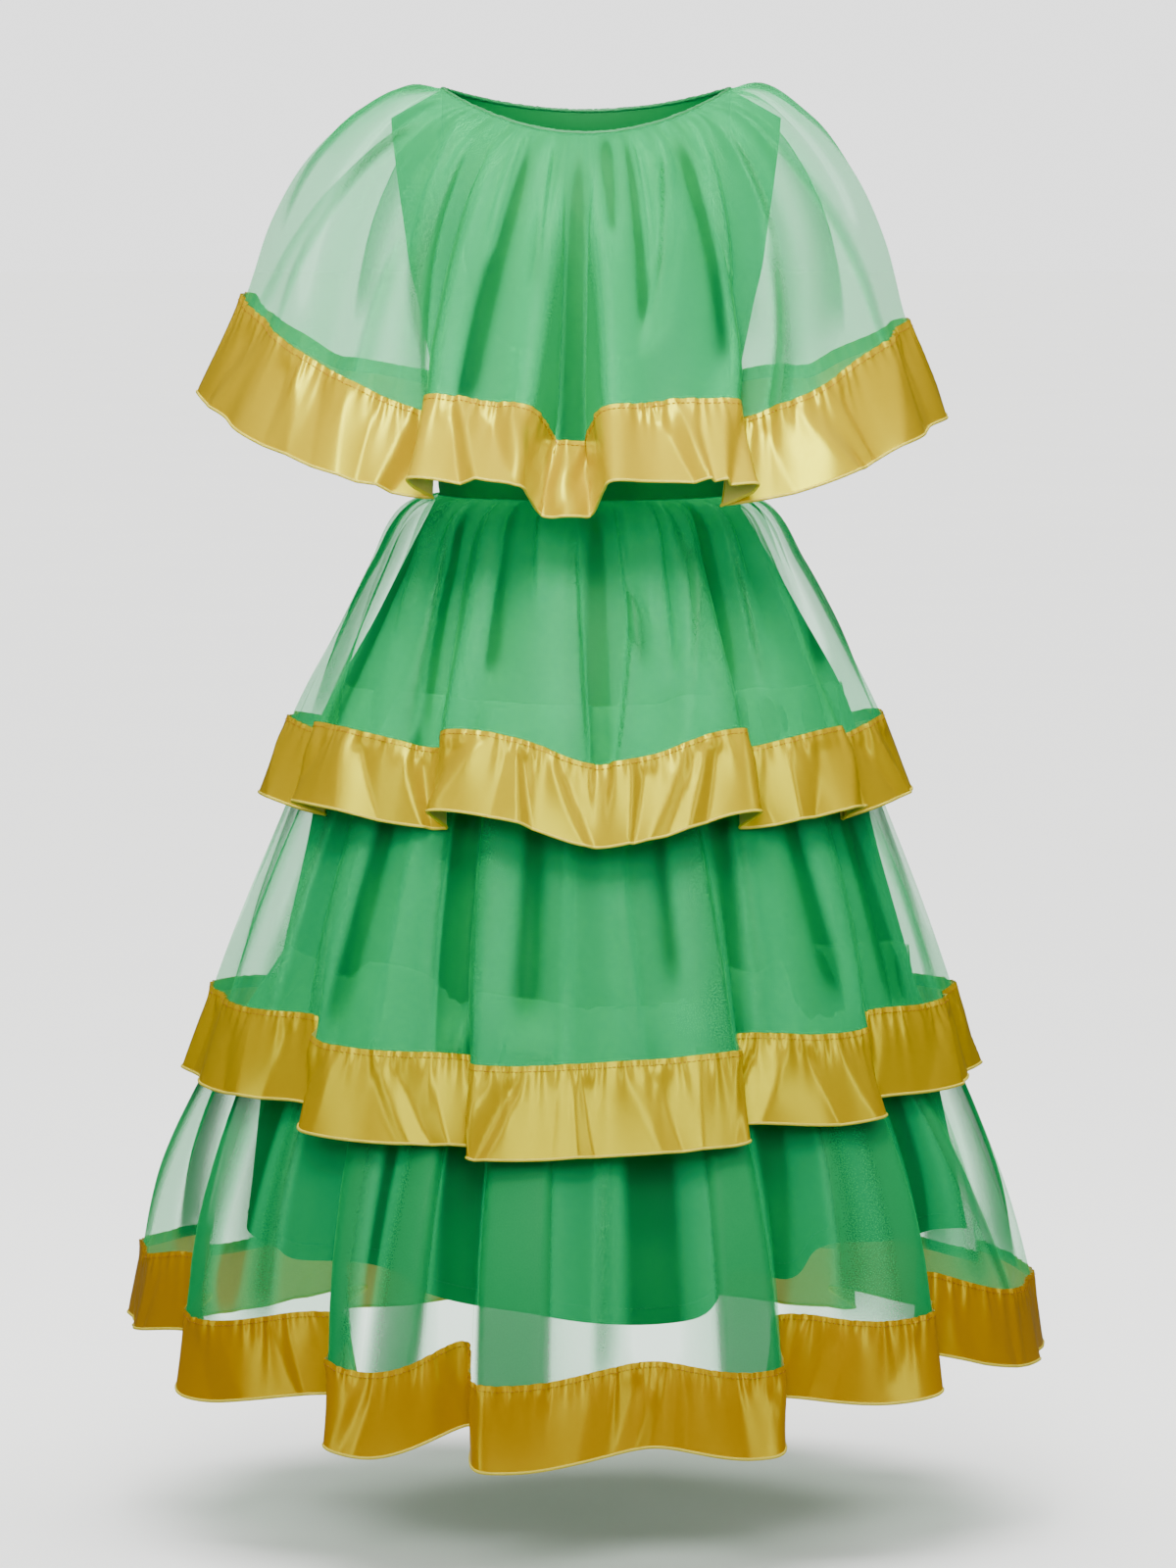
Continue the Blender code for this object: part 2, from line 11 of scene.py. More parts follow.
import bmesh
import bpy
import numpy as np
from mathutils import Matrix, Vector


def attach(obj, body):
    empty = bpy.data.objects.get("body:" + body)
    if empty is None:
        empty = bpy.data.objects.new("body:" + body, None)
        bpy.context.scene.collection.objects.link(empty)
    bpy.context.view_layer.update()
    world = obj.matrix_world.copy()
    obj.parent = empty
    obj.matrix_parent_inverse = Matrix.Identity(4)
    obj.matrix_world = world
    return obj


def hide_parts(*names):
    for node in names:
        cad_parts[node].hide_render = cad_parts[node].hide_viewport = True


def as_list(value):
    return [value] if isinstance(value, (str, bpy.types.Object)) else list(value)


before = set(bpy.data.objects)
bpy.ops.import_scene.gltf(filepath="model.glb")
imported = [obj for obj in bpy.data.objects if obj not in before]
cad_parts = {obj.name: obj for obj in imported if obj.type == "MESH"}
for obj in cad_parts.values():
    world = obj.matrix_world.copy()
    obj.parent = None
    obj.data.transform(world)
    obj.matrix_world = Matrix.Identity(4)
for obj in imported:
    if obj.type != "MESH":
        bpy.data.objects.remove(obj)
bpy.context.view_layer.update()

# Sizes that the solids have too
SEAM_GAP = 0.0003  # between cloths that lie on each other
NECK_SIDE, NECK_FRONT, NECK_BACK = 0.102, 0.070, 0.065  # the neckline's half width and depths
NECK_DIP_FRONT, NECK_DIP_BACK = 0.0305, 0.016  # how far it dips below the shoulders
NECK_SHARE = 0.80  # of half a bodice panel's top edge; the rest is the shoulder seam
SHOULDER_TIP, SHOULDER_DROP = 0.139, 0.020  # the shoulder's end, and how far it slopes down
CHEST_FROM = 0.25  # the way down from which a bodice panel has the chest's form
WAIST_Z = -0.286
BINDING_RADIUS = 0.0015
SEAT = 0.0005  # how far outside its carrier a tier is sewn on
SEATED_TO = 0.1  # the way down at which a tier has parted from its carrier

# Real thickness of each cloth
ORGANZA_THICK = 0.0003
SATIN_THICK = 0.0006
RIBBON_THICK = 0.0004
RIBBON_OUT = 3 * SEAM_GAP + ORGANZA_THICK  # from the tube's own surface to its ribbon's back

# How finely the cloth is divided
FOLLOW_HEM = 0.7  # how much the columns follow the hem's length, and not the angle alone
HEM_SAMPLES = 8 * 360 + 1  # eight to a degree
TINY = 1e-4  # a step for slopes
# The rows down a ribbon, of which the first few lie over the organza
RIBBON_SHARES = np.array(
    [0, 0.035, 0.08, 0.143, 0.21, 0.29, 0.38, 0.48, 0.59, 0.7, 0.8, 0.88, 0.94, 0.98, 1]
)
LAPPED_ROWS = 4
ORGANZA_CROWDED, PANEL_CROWDED = 1.2, 1.15  # powers that crowd the rows at a sheet's top
PANEL_ROWS, PANEL_COLUMNS, STRAP_COLUMNS = 49, 33, 9  # of half a bodice panel
UNDERSKIRT_ROWS, UNDERSKIRT_COLUMNS = 52, 320
SMOOTH_UP_TO = 50  # degrees: edges sharper than this look creased

# The shares of a crease over which it rises and fades. The cloth bunched in it fades later.
RISE, LIFT_TAIL, BUNCHED_TAIL = 0.22, 0.4, 0.2
BODICE_FADE = 0.3  # at both ends of a bodice panel's creases

# The fine gathers at a seam, each drawn from these ranges. Place, lean and width are shares of
# the step from one gather to the next, and reach and size are shares of the cloth's own.
PUCKER_PLACE, PUCKER_LEAN, PUCKER_WIDTH = (-0.35, 0.35), (-1.2, 1.2), (0.24, 0.42)
PUCKER_REACH, PUCKER_SIZE = (0.25, 1.0), (0.45, 1.0)
PUCKER_WIDENS, PUCKER_FALL = 0.8, 1.6  # how it widens on its way down, and how fast it falls off
HELD_FLAT, FREE_FROM = 0.3, 0.035  # its share of height at the seam, and where it has it all

# The facets of the ribbons: their widths and how often each comes, then ranges for how far
# their creases stray, how steep they are and how high their foot is against their top
FACET_WIDTHS = ((0.008, 0.20), (0.013, 0.24), (0.021, 0.24), (0.031, 0.20), (0.043, 0.12))
FACET_STRAY, FACET_STEEPNESS, FACET_FOOT = (-0.3, 0.3), (0.35, 1.0), (0.4, 1.5)
FACET_SLOPE, FACET_HEIGHT = 0.60, 0.0044  # of the steepest, and of the highest
FACET_AT_SEAM, FACET_FULL_FROM = 0.5, 0.4  # share of its height at the seam, and where it is full
SWAY = (0.015, 9)  # how far the creases lean to one side and the other, and how often round
CALM_BELOW = 0.75  # the facets fade out where the ribbon faces less squarely than this

# The sharp puckers along a ribbon's sewn edge: ranges for their step, width and lean in metres,
# for their reach as a share of the ribbon's height and for their size as one of the tallest
EDGE_PUCKER = 0.0034  # height of the tallest
EDGE_STEP, EDGE_WIDTH, EDGE_LEAN = (0.004, 0.012), (0.0011, 0.0027), (-0.006, 0.006)
EDGE_REACH, EDGE_SIZE, EDGE_WIDENS = (0.14, 0.46), (0.2, 1.0), 1.5
EDGE_DIP = 0.2  # how far a pucker pulls the ribbon down, as a share of its height

# Stitches, rolls and the turned-in waist seam
STITCH_STEP, STITCH_LENGTH, STITCH_RADIUS = 0.0034, 0.0026, 0.00045
STITCH_RINGS = ((-0.5, 0.35), (0.0, 1.0), (0.5, 0.35))  # places along a stitch, and thickness
STITCH_PROUD = 0.6  # of its radius
SEWN_AT = 0.6  # of the way from the ribbon's second row to its third
ROLLED_EDGE, ROLLED_SIDES = 0.0011, 8  # the radius of a ribbon's foot
BINDING_SUNK, BINDING_UNEVEN, BINDING_SIDES = (0.3, 0.6), (0.8, 1.12), 10  # by its radius
SEAM_TURN, SEAM_TURN_FROM = 0.0008, 0.985  # how far it turns in, and from which way down

# How many times its own thickness of organza the eye looks through
MOST_SLANTED = 0.48  # cloth that faces outward less squarely than this gets no denser
LIFT_A_LAYER = 0.0018  # a layer more for each such lift of a crease
LAYERS = (0.2, 9.0)  # the fewest and the most in a crease
DENSER_ASIDE = 0.1  # and this share more at the dress's two sides

# Patterns of the finishes, in grains to the metre
WEAVE = 1100  # organza's threads lie 0.2 mm apart, too fine to show: drawn 0.9 mm apart
FLOATS = 830  # satin's yarns lie 0.1 mm apart, too fine to show: drawn 1.2 mm apart
REVERSE_YARN = 500  # the back's yarns are too fine to show as well: drawn 2 mm apart
TWIST = 1500  # a thread's turns, 0.7 mm apart
ORGANZA_CLOUD, LINING_CLOUD = 20, 16  # uneven dye, in clouds of 50 and 60 mm
PAPER_MOTTLE = 3  # 0.3 m
NOISE_SPAN = {"From Min": 0.3, "From Max": 0.7}  # most of a noise's values lie between these

CLOTH_UV = "cloth"
DENSITY = "slant"  # the attribute that says how many layers of organza are seen
LEAST_CLEAR, MOST_CLEAR = 0.8, 0.835  # what one layer of organza lets through
PAINTED_SHADE_LAYERS = {"From Min": 1.4, "From Max": 5.0}  # the layers over which its green is darkened: painted shade where many layers fold over each other
SEEN_THROUGH = "#f3fdf7"  # how the gaps between its threads tint what is behind them
PAINTED_SHADE_HEIGHTS = {"From Min": -0.84, "From Max": -0.68}  # heights: below them the gold is painted warmer and darker, as painted shade for the dimmer light low on the dress


def columns(names, *rows):
    """A short table: the name of each column, and its numbers from top to bottom."""
    return dict(zip(names.split(), np.array(rows, float).T))


# Each row is one ring of the cloth, from its seam at 0 to its bottom edge at 1: the half width,
# the depths in front of and behind the origin, and the heights of the ring there.
RING = "along side front back z_side z_front z_back"
CAPE_RINGS = columns(
    RING,
    (0, 0.102, 0.07, 0.065, 0, -0.0305, -0.016),
    (0.07, 0.1235, 0.089, 0.086, -0.0002, -0.048, -0.031),
    (0.21, 0.158, 0.107, 0.103, -0.018, -0.088, -0.073),
    (0.36, 0.19, 0.12, 0.117, -0.049, -0.132, -0.119),
    (0.55, 0.2165, 0.136, 0.134, -0.097, -0.18, -0.171),
    (0.74, 0.2335, 0.156, 0.154, -0.152, -0.2185, -0.215),
    (1, 0.264, 0.2, 0.195, -0.221, -0.2695, -0.268),
)
TIER_1_RINGS = columns(
    RING,
    (0, 0.1056, 0.0836, 0.0836, -0.2866, -0.2866, -0.2866),
    (0.07, 0.124, 0.099, 0.099, -0.2935, -0.2925, -0.2925),
    (0.27, 0.154, 0.125, 0.124, -0.338, -0.339, -0.339),
    (0.5, 0.181, 0.15, 0.148, -0.387, -0.391, -0.39),
    (0.77, 0.2105, 0.18, 0.177, -0.445, -0.445, -0.448),
    (1, 0.233, 0.2, 0.197, -0.499, -0.5, -0.503),
)
TIER_2_RINGS = columns(
    RING,
    (0, 0.177, 0.1395, 0.138, -0.425, -0.425, -0.425),
    (0.1, 0.189, 0.149, 0.148, -0.45, -0.45, -0.45),
    (0.3, 0.211, 0.164, 0.162, -0.503, -0.506, -0.505),
    (0.55, 0.24, 0.195, 0.192, -0.576, -0.582, -0.58),
    (0.79, 0.264, 0.225, 0.222, -0.643, -0.656, -0.65),
    (1, 0.284, 0.246, 0.243, -0.701, -0.718, -0.71),
)
TIER_3_RINGS = columns(
    RING,
    (0, 0.2205, 0.1735, 0.172, -0.625, -0.625, -0.625),
    (0.1, 0.238, 0.188, 0.186, -0.65, -0.651, -0.651),
    (0.32, 0.272, 0.218, 0.216, -0.713, -0.715, -0.715),
    (0.56, 0.301, 0.252, 0.25, -0.782, -0.793, -0.793),
    (0.8, 0.32, 0.282, 0.28, -0.847, -0.876, -0.876),
    (1, 0.331, 0.299, 0.297, -0.9, -0.933, -0.933),
)
UNDERSKIRT_RINGS = columns(
    RING,
    (0, 0.105, 0.083, 0.083, -0.2863, -0.2863, -0.2863),
    (0.15, 0.148, 0.116, 0.115, -0.368, -0.368, -0.368),
    (0.28, 0.183, 0.143, 0.142, -0.44, -0.44, -0.44),
    (0.45, 0.198, 0.156, 0.154, -0.532, -0.534, -0.534),
    (0.65, 0.224, 0.175, 0.174, -0.642, -0.645, -0.645),
    (0.82, 0.243, 0.192, 0.191, -0.736, -0.742, -0.742),
    (1, 0.259, 0.214, 0.212, -0.833, -0.842, -0.842),
)

# Each row is one fold, at an angle round the dress. At the bottom edge it sinks by depth below
# the crests beside it and spreads over the angles left and right. The edge hangs lower there by
# drop, or higher where that is below 0, and the floor of the fold is tucked sideways under a
# crest by the angle tuck.
FOLD = "turn depth left right drop tuck"
CAPE_FOLDS = columns(
    FOLD,
    (-164, 0.03, 4, 8, 0.012, -4),
    (-128, 0.022, 9, 4, 0.006, 4),
    (-98, 0.008, 7, 6, 0, 0),
    (-70, 0.006, 6, 5, 0, 0),
    (-50, 0.007, 6, 5, 0.002, 0),
    (-30.5, 0.037, 9, 3, 0.014, 4.6),
    (-14, 0.006, 6, 4, 0.002, 0),
    (-4.5, 0.04, 2.4, 2.8, 0.019, -2),
    (-1.2, 0.014, 3, 3, 0.014, 0),
    (2, 0.04, 2.8, 2.4, 0.019, 2),
    (13, 0.009, 6, 5, 0.002, 0),
    (34.5, 0.036, 3.2, 9, 0.016, -7),
    (55, 0.007, 5, 6, 0.002, 0),
    (76, 0.006, 5, 6, 0, 0),
    (101, 0.008, 6, 7, 0, 0),
    (131, 0.022, 4, 9, 0.008, -4),
    (154, 0.014, 6, 4, 0.004, 2),
    (176, 0.034, 3, 4, 0.016, 2),
)
TIER_1_FOLDS = columns(
    FOLD,
    (-171, 0.022, 4, 9, 0.008, -5),
    (-145, 0.026, 3.5, 9, 0.01, -5),
    (-117, 0.018, 3.5, 9, 0.008, -5),
    (-94, 0.008, 6, 5, 0, 0),
    (-69.5, 0.021, 9, 3.8, 0.01, 10),
    (-32.5, 0.029, 10, 3, 0.013, 4),
    (-1, 0.004, 8, 8, 0, 0),
    (36, 0.028, 3, 9, 0.013, -4.5),
    (64.5, 0.021, 3.6, 9, 0.012, -7.5),
    (92, 0.008, 5, 6, 0, 0),
    (118, 0.017, 9, 3.5, 0.008, 5),
    (146, 0.026, 9, 3.5, 0.01, 5),
    (171, 0.017, 9, 4, 0.006, 5),
)
TIER_2_FOLDS = columns(
    FOLD,
    (-160, 0.022, 3, 9, -0.004, -5),
    (-133, 0.018, 3.5, 9, -0.002, -4),
    (-104, 0.009, 4, 8, 0, 0),
    (-76, 0.008, 7, 4, 0, 0),
    (-49.5, 0.018, 10, 3.4, -0.012, 5),
    (-20.5, 0.021, 10, 2.6, -0.004, 6),
    (3, 0.006, 7, 7, 0, 0),
    (28.5, 0.023, 2.8, 9, -0.008, -4.5),
    (53.5, 0.019, 3.4, 9, -0.007, -5),
    (80, 0.008, 4, 7, 0, 0),
    (106, 0.009, 8, 4, 0, 0),
    (137, 0.02, 9, 3.5, -0.003, 4),
    (168, 0.022, 9, 3, -0.005, 5),
)
TIER_3_FOLDS = columns(
    FOLD,
    (-168, 0.034, 4, 9, -0.018, -5),
    (-141, 0.034, 3, 10, -0.02, -5),
    (-113, 0.022, 3, 10, -0.014, -4),
    (-86, 0.008, 6, 5, 0, 0),
    (-66, 0.027, 10, 3.2, -0.028, 4.5),
    (-37.5, 0.036, 12, 2.6, -0.024, 6),
    (-18.5, 0.038, 5, 3.2, -0.026, 3),
    (9, 0.016, 6, 6, 0, 0),
    (30, 0.04, 3.3, 10, -0.028, -5.5),
    (54, 0.03, 3.2, 9, -0.024, -5.5),
    (82, 0.008, 5, 6, 0, 0),
    (108, 0.022, 10, 3, -0.012, 4),
    (137, 0.034, 10, 3, -0.02, 5),
    (163, 0.032, 9, 3.5, -0.018, 5),
)
UNDERSKIRT_FOLDS = columns(
    FOLD,
    (-150, 0.016, 6, 12, -0.008, 0),
    (-108, 0.01, 9, 9, 0, 0),
    (-70, 0.009, 8, 8, 0, 0),
    (-37, 0.016, 10, 5, 0, 0),
    (-14, 0.009, 7, 7, 0, 0),
    (21.5, 0.016, 4, 6, -0.022, 0),
    (36, 0.01, 4, 9, -0.012, 0),
    (66, 0.009, 9, 9, 0, 0),
    (104, 0.01, 9, 9, 0, 0),
    (142, 0.016, 12, 6, -0.008, 0),
    (174, 0.012, 8, 8, -0.006, 0),
)

# Each pair is one place round a bottom edge and the height at which the crests end there.
HEM = "turn level"
CAPE_HEM = columns(
    HEM,
    (-180, -0.268), (-135, -0.252), (-90, -0.213), (-66, -0.2325), (-48, -0.253), (-34, -0.266),
    (-22, -0.2635), (0, -0.268), (18, -0.2645), (30, -0.269), (44, -0.268), (60, -0.248),
    (90, -0.231), (135, -0.254),
)
TIER_1_HEM = columns(
    HEM,
    (-180, -0.503), (-135, -0.503), (-90, -0.498), (-63, -0.4955), (-40, -0.4985), (-22, -0.494),
    (-12, -0.5), (1, -0.517), (12, -0.511), (25, -0.496), (45, -0.4985), (60, -0.4965),
    (90, -0.4955), (135, -0.503),
)
TIER_2_HEM = columns(
    HEM,
    (-180, -0.716), (-135, -0.71), (-90, -0.6955), (-66, -0.7), (-44, -0.7165), (-30, -0.722),
    (-15, -0.7275), (0, -0.7255), (22, -0.719), (35, -0.714), (48, -0.709), (64, -0.7),
    (90, -0.695), (135, -0.708),
)
TIER_3_HEM = columns(
    HEM,
    (-180, -0.925), (-150, -0.918), (-120, -0.905), (-90, -0.878), (-75, -0.885), (-60, -0.907),
    (-44, -0.913), (-28, -0.93), (-8, -0.9335), (8, -0.9185), (20, -0.927), (36, -0.915),
    (48, -0.899), (64, -0.896), (90, -0.899), (120, -0.908), (150, -0.918),
)
UNDERSKIRT_HEM = columns(
    HEM,
    (-180, -0.84), (-135, -0.832), (-90, -0.812), (-60, -0.818), (-42, -0.815), (-28, -0.83),
    (-12, -0.841), (14, -0.843), (26, -0.829), (42, -0.806), (66, -0.802), (90, -0.814),
    (135, -0.832),
)

# Each row is one level of the bodice, from the waist up: the half width of its outline, its
# depths at the front and back, and how far the armhole's edges stand from the side.
BODICE = columns(
    "z side front back armhole",
    (-0.286, 0.105, 0.083, 0.083, 0),
    (-0.215, 0.107, 0.087, 0.084, 0),
    (-0.15, 0.119, 0.092, 0.088, 0),
    (-0.125, 0.124, 0.092, 0.088, 0.027),
    (-0.095, 0.128, 0.089, 0.086, 0.034),
    (-0.06, 0.133, 0.081, 0.078, 0.033),
    (-0.03, 0.137, 0.07, 0.067, 0.02),
    (0, 0.139, 0.065, 0.06, 0),
)

# Each row is one soft crease. It runs down the cloth from start to end, and round it from the
# angle turn to the angle to_turn. It is a ridge of that height, or a trough where that is below 0,
# and spreads so many degrees to its left and right: the narrow side is nearly edge-on.
CREASE = "turn to_turn start end left right height"
CAPE_CREASES = columns(
    CREASE,
    (-31, -25, 0.02, 0.92, 0.7, 4.5, 0.0052),
    (-38, -32, 0.03, 0.9, 3, 0.8, 0.0042),
    (-46, -33, 0.02, 0.62, 0.9, 3, 0.0036),
    (-18.5, -20.5, 0.02, 0.82, 1.2, 2.4, -0.0036),
    (-24, -21, 0, 0.36, 0.8, 2.4, 0.003),
    (-12, -9, 0, 0.42, 2.2, 0.8, 0.0028),
    (-6.5, -3.4, 0.1, 0.98, 5, 0.6, 0.0048),
    (-2, -0.5, 0.02, 0.98, 1.6, 1.6, -0.0042),
    (2.4, 2.6, 0.06, 0.98, 0.6, 5, 0.0048),
    (8, 7, 0, 0.28, 2.6, 1.2, -0.0034),
    (14.2, 12.4, 0, 0.52, 1.2, 1.2, -0.003),
    (18, 15, 0, 0.4, 0.8, 2.4, 0.003),
    (26, 11, 0.01, 0.6, 0.8, 3, 0.004),
    (32, 27, 0.04, 0.7, 2.4, 2, -0.003),
    (41, 26, 0.02, 0.9, 4, 0.8, 0.0048),
    (50, 39.5, 0.03, 0.88, 0.9, 3.5, 0.0042),
    (45, 40.5, 0.28, 0.96, 1, 1, 0.0026),
    (56.5, 69, 0.04, 0.88, 0.8, 2.4, 0.0032),
    (-42, -43, 0.34, 0.88, 0.8, 2, 0.003),
    (-57, -66, 0.06, 0.78, 2, 0.8, 0.0032),
    (-53, -78, 0.02, 0.82, 1.2, 2.2, 0.0028),
    (-80, -84, 0, 0.36, 0.9, 7, 0.0038),
    (88, 92, 0, 0.38, 6.6, 0.9, 0.0035),
    (-97, -103, 0.02, 0.58, 0.9, 4.8, 0.0043),
    (-112, -120, 0, 0.74, 2, 2, -0.0032),
    (-126, -133, 0.02, 0.66, 4.8, 0.9, 0.0052),
    (-141, -147, 0, 0.5, 0.9, 5.7, 0.0043),
    (-154, -158, 0.02, 0.8, 1.8, 1.8, -0.0036),
    (-168, -170, 0, 0.62, 4, 0.9, 0.0043),
    (104, 109, 0, 0.52, 2.6, 2.6, -0.0028),
    (117, 124, 0.02, 0.74, 0.9, 4.4, 0.0052),
    (133, 139, 0, 0.46, 2.4, 2.4, -0.003),
    (146, 150, 0.02, 0.7, 4.8, 0.9, 0.0052),
    (161, 165, 0, 0.6, 1.6, 1.6, -0.003),
    (173, 176, 0, 0.78, 0.9, 4, 0.0052),
)
TIER_1_CREASES = columns(
    CREASE,
    (-30.5, -35, 0, 0.94, 0.7, 7, 0.0062),
    (-44, -37, 0, 0.86, 6, 0.8, 0.0048),
    (-53, -48, 0, 0.52, 0.9, 3.4, 0.004),
    (-57, -58, 0.1, 0.9, 2.4, 2, -0.003),
    (-64, -75, 0.02, 0.92, 0.9, 4, 0.0026),
    (-40, -38, 0.06, 0.92, 1.6, 1.2, -0.0056),
    (-25, -21, 0, 0.62, 0.9, 3, -0.0026),
    (-14, -12, 0, 0.36, 0.9, 2.6, 0.0032),
    (-3.5, 1, 0, 0.98, 6, 0.7, 0.0054),
    (3, 2, 0.02, 0.98, 2.2, 2.2, -0.0036),
    (8.5, 13, 0, 0.54, 0.8, 3.4, 0.004),
    (13, 3.5, 0.22, 0.99, 0.7, 5, 0.0046),
    (20, 19, 0, 0.62, 3, 0.8, 0.0034),
    (31, 30, 0, 0.93, 6, 0.7, 0.0056),
    (32, 18, 0.12, 0.84, 0.8, 2, 0.0024),
    (38, 36, 0, 0.6, 2.2, 2.2, -0.0034),
    (46, 43, 0, 0.66, 0.9, 3, 0.004),
    (55, 69, 0.02, 0.92, 4, 0.9, 0.0026),
    (63, 58, 0.1, 0.9, 2.2, 2.6, -0.003),
    (-78, -65, 0.02, 0.9, 0.9, 4, 0.0022),
    (80, 68, 0, 0.6, 2.4, 2.4, -0.0026),
    (-90, -86, 0, 0.66, 2.4, 2.4, -0.0026),
    (-103, -108, 0.02, 0.84, 4, 0.9, 0.0049),
    (-119, -116, 0, 0.6, 2.6, 2.6, -0.0034),
    (-132, -138, 0.02, 0.88, 0.9, 4, 0.0049),
    (-150, -148, 0, 0.7, 2.8, 2.8, -0.0034),
    (-163, -166, 0.02, 0.86, 4, 0.9, 0.0049),
    (-178, -176, 0, 0.62, 2.8, 2.8, -0.0034),
    (94, 98, 0.02, 0.74, 0.9, 4.8, 0.0046),
    (108, 112, 0, 0.64, 2.6, 2.6, -0.0034),
    (124, 128, 0.02, 0.86, 4, 0.9, 0.0049),
    (140, 137, 0, 0.6, 2.8, 2.8, -0.0034),
    (153, 157, 0.02, 0.88, 0.9, 4, 0.0049),
    (168, 166, 0, 0.7, 2.6, 2.6, -0.0032),
)
TIER_2_CREASES = columns(
    CREASE,
    (-48, -52, 0.03, 0.95, 0.7, 5, 0.0058),
    (-41, -42, 0.04, 0.8, 2.4, 2.4, -0.0034),
    (-33, -34, 0.06, 0.84, 0.9, 2.2, 0.0026),
    (-28, -27, 0.04, 0.92, 4, 0.8, 0.0042),
    (-23.5, -23.4, 0.02, 0.97, 2.4, 2.2, -0.006),
    (-18.8, -20.5, 0.03, 0.96, 0.7, 6, 0.0062),
    (-10, -9, 0.1, 0.74, 2.4, 2.4, -0.0026),
    (-3.2, -2.4, 0.08, 0.96, 0.6, 1, 0.003),
    (5, 9.8, 0.08, 0.95, 2.6, 0.7, 0.004),
    (14, 15, 0.04, 0.7, 2.2, 2.2, -0.0028),
    (20.5, 23.2, 0.03, 0.96, 6, 0.7, 0.0062),
    (26.5, 27, 0.03, 0.96, 1.8, 1.8, -0.0058),
    (30.6, 32.4, 0.04, 0.9, 0.8, 3.4, 0.0044),
    (42, 44, 0.04, 0.76, 2.4, 2.4, -0.0028),
    (50.5, 54.5, 0.03, 0.95, 6, 0.7, 0.0058),
    (60, 61, 0.04, 0.84, 2, 2, -0.0034),
    (67, 72.6, 0.04, 0.88, 1.2, 2.4, 0.0036),
    (-57, -59.5, 0.04, 0.9, 3.2, 0.9, 0.0044),
    (-68, -72, 0.04, 0.88, 1, 2.2, 0.0034),
    (-90, -92, 0.02, 0.7, 2.6, 2.6, -0.003),
    (-106, -108, 0.02, 0.9, 0.9, 4, 0.0049),
    (-121, -119, 0.04, 0.72, 2.6, 2.6, -0.0032),
    (-137, -139, 0.02, 0.92, 3.5, 0.9, 0.0052),
    (-152, -150, 0.04, 0.76, 2.6, 2.6, -0.0034),
    (-167, -168, 0.02, 0.9, 0.9, 4, 0.0049),
    (88, 87, 0.04, 0.7, 2.6, 2.6, -0.003),
    (103, 106, 0.02, 0.9, 4, 0.9, 0.0049),
    (119, 117, 0.04, 0.72, 2.6, 2.6, -0.0032),
    (133, 135, 0.02, 0.92, 0.9, 3.5, 0.0052),
    (150, 148, 0.04, 0.76, 2.6, 2.6, -0.0034),
    (165, 166, 0.02, 0.9, 4, 0.9, 0.0052),
    (179, 178, 0.04, 0.72, 2.4, 2.4, -0.003),
)
TIER_3_CREASES = columns(
    CREASE,
    (-66, -60, 0.03, 0.95, 0.8, 5, 0.0058),
    (-73, -70, 0.04, 0.86, 2.2, 2.2, -0.0034),
    (-55, -54, 0.04, 0.84, 2.6, 2.2, -0.0032),
    (-47, -48, 0.04, 0.88, 2.6, 0.9, 0.0036),
    (-37.5, -34.5, 0.03, 0.98, 0.7, 5.5, 0.0058),
    (-29, -29, 0.05, 0.98, 1.6, 1.6, -0.0034),
    (-21, -24.3, 0.03, 0.98, 4.5, 0.7, 0.0058),
    (-17.2, -17.6, 0.03, 0.96, 2.4, 2, -0.006),
    (-13.2, -12.6, 0.03, 0.98, 0.7, 6, 0.0058),
    (-5.6, -5, 0.05, 0.98, 5, 0.5, 0.005),
    (3, 1.5, 0.06, 0.9, 0.8, 1.8, 0.003),
    (9, 9, 0.04, 0.9, 2.6, 2.6, -0.0032),
    (18.4, 17.2, 0.04, 0.98, 0.6, 4, 0.0046),
    (22, 24.5, 0.03, 0.98, 5, 0.7, 0.0058),
    (28, 28.6, 0.04, 0.95, 2, 2, -0.005),
    (37, 38, 0.04, 0.84, 0.9, 3, 0.0034),
    (48, 48.5, 0.03, 0.95, 6, 0.7, 0.0058),
    (56, 70.5, 0.1, 0.93, 1, 1.4, 0.0036),
    (53, 54, 0.04, 0.8, 1.8, 1.8, -0.0034),
    (62, 63, 0.04, 0.86, 2.4, 2.4, 0.003),
    (-90, -92, 0.04, 0.88, 0.9, 5.3, 0.0046),
    (-106, -107, 0.02, 0.92, 4, 0.9, 0.0055),
    (-115, -114, 0.04, 0.84, 2.4, 2.4, -0.0036),
    (-129, -131, 0.02, 0.92, 0.9, 4.4, 0.0055),
    (-143, -142, 0.04, 0.86, 2.4, 2.4, -0.0038),
    (-157, -158, 0.02, 0.92, 4, 0.9, 0.0055),
    (-170, -168, 0.04, 0.84, 2.4, 2.4, -0.0036),
    (84, 83, 0.02, 0.78, 2.6, 2.6, -0.003),
    (98, 99, 0.04, 0.9, 0.9, 4.4, 0.0052),
    (110, 109, 0.02, 0.84, 2.4, 2.4, -0.0036),
    (124, 125, 0.02, 0.92, 4, 0.9, 0.0055),
    (138, 137, 0.04, 0.86, 2.4, 2.4, -0.0038),
    (151, 152, 0.02, 0.92, 0.9, 4, 0.0055),
    (164, 163, 0.04, 0.84, 2.4, 2.4, -0.0036),
    (177, 178, 0.02, 0.9, 4.4, 0.9, 0.0055),
)
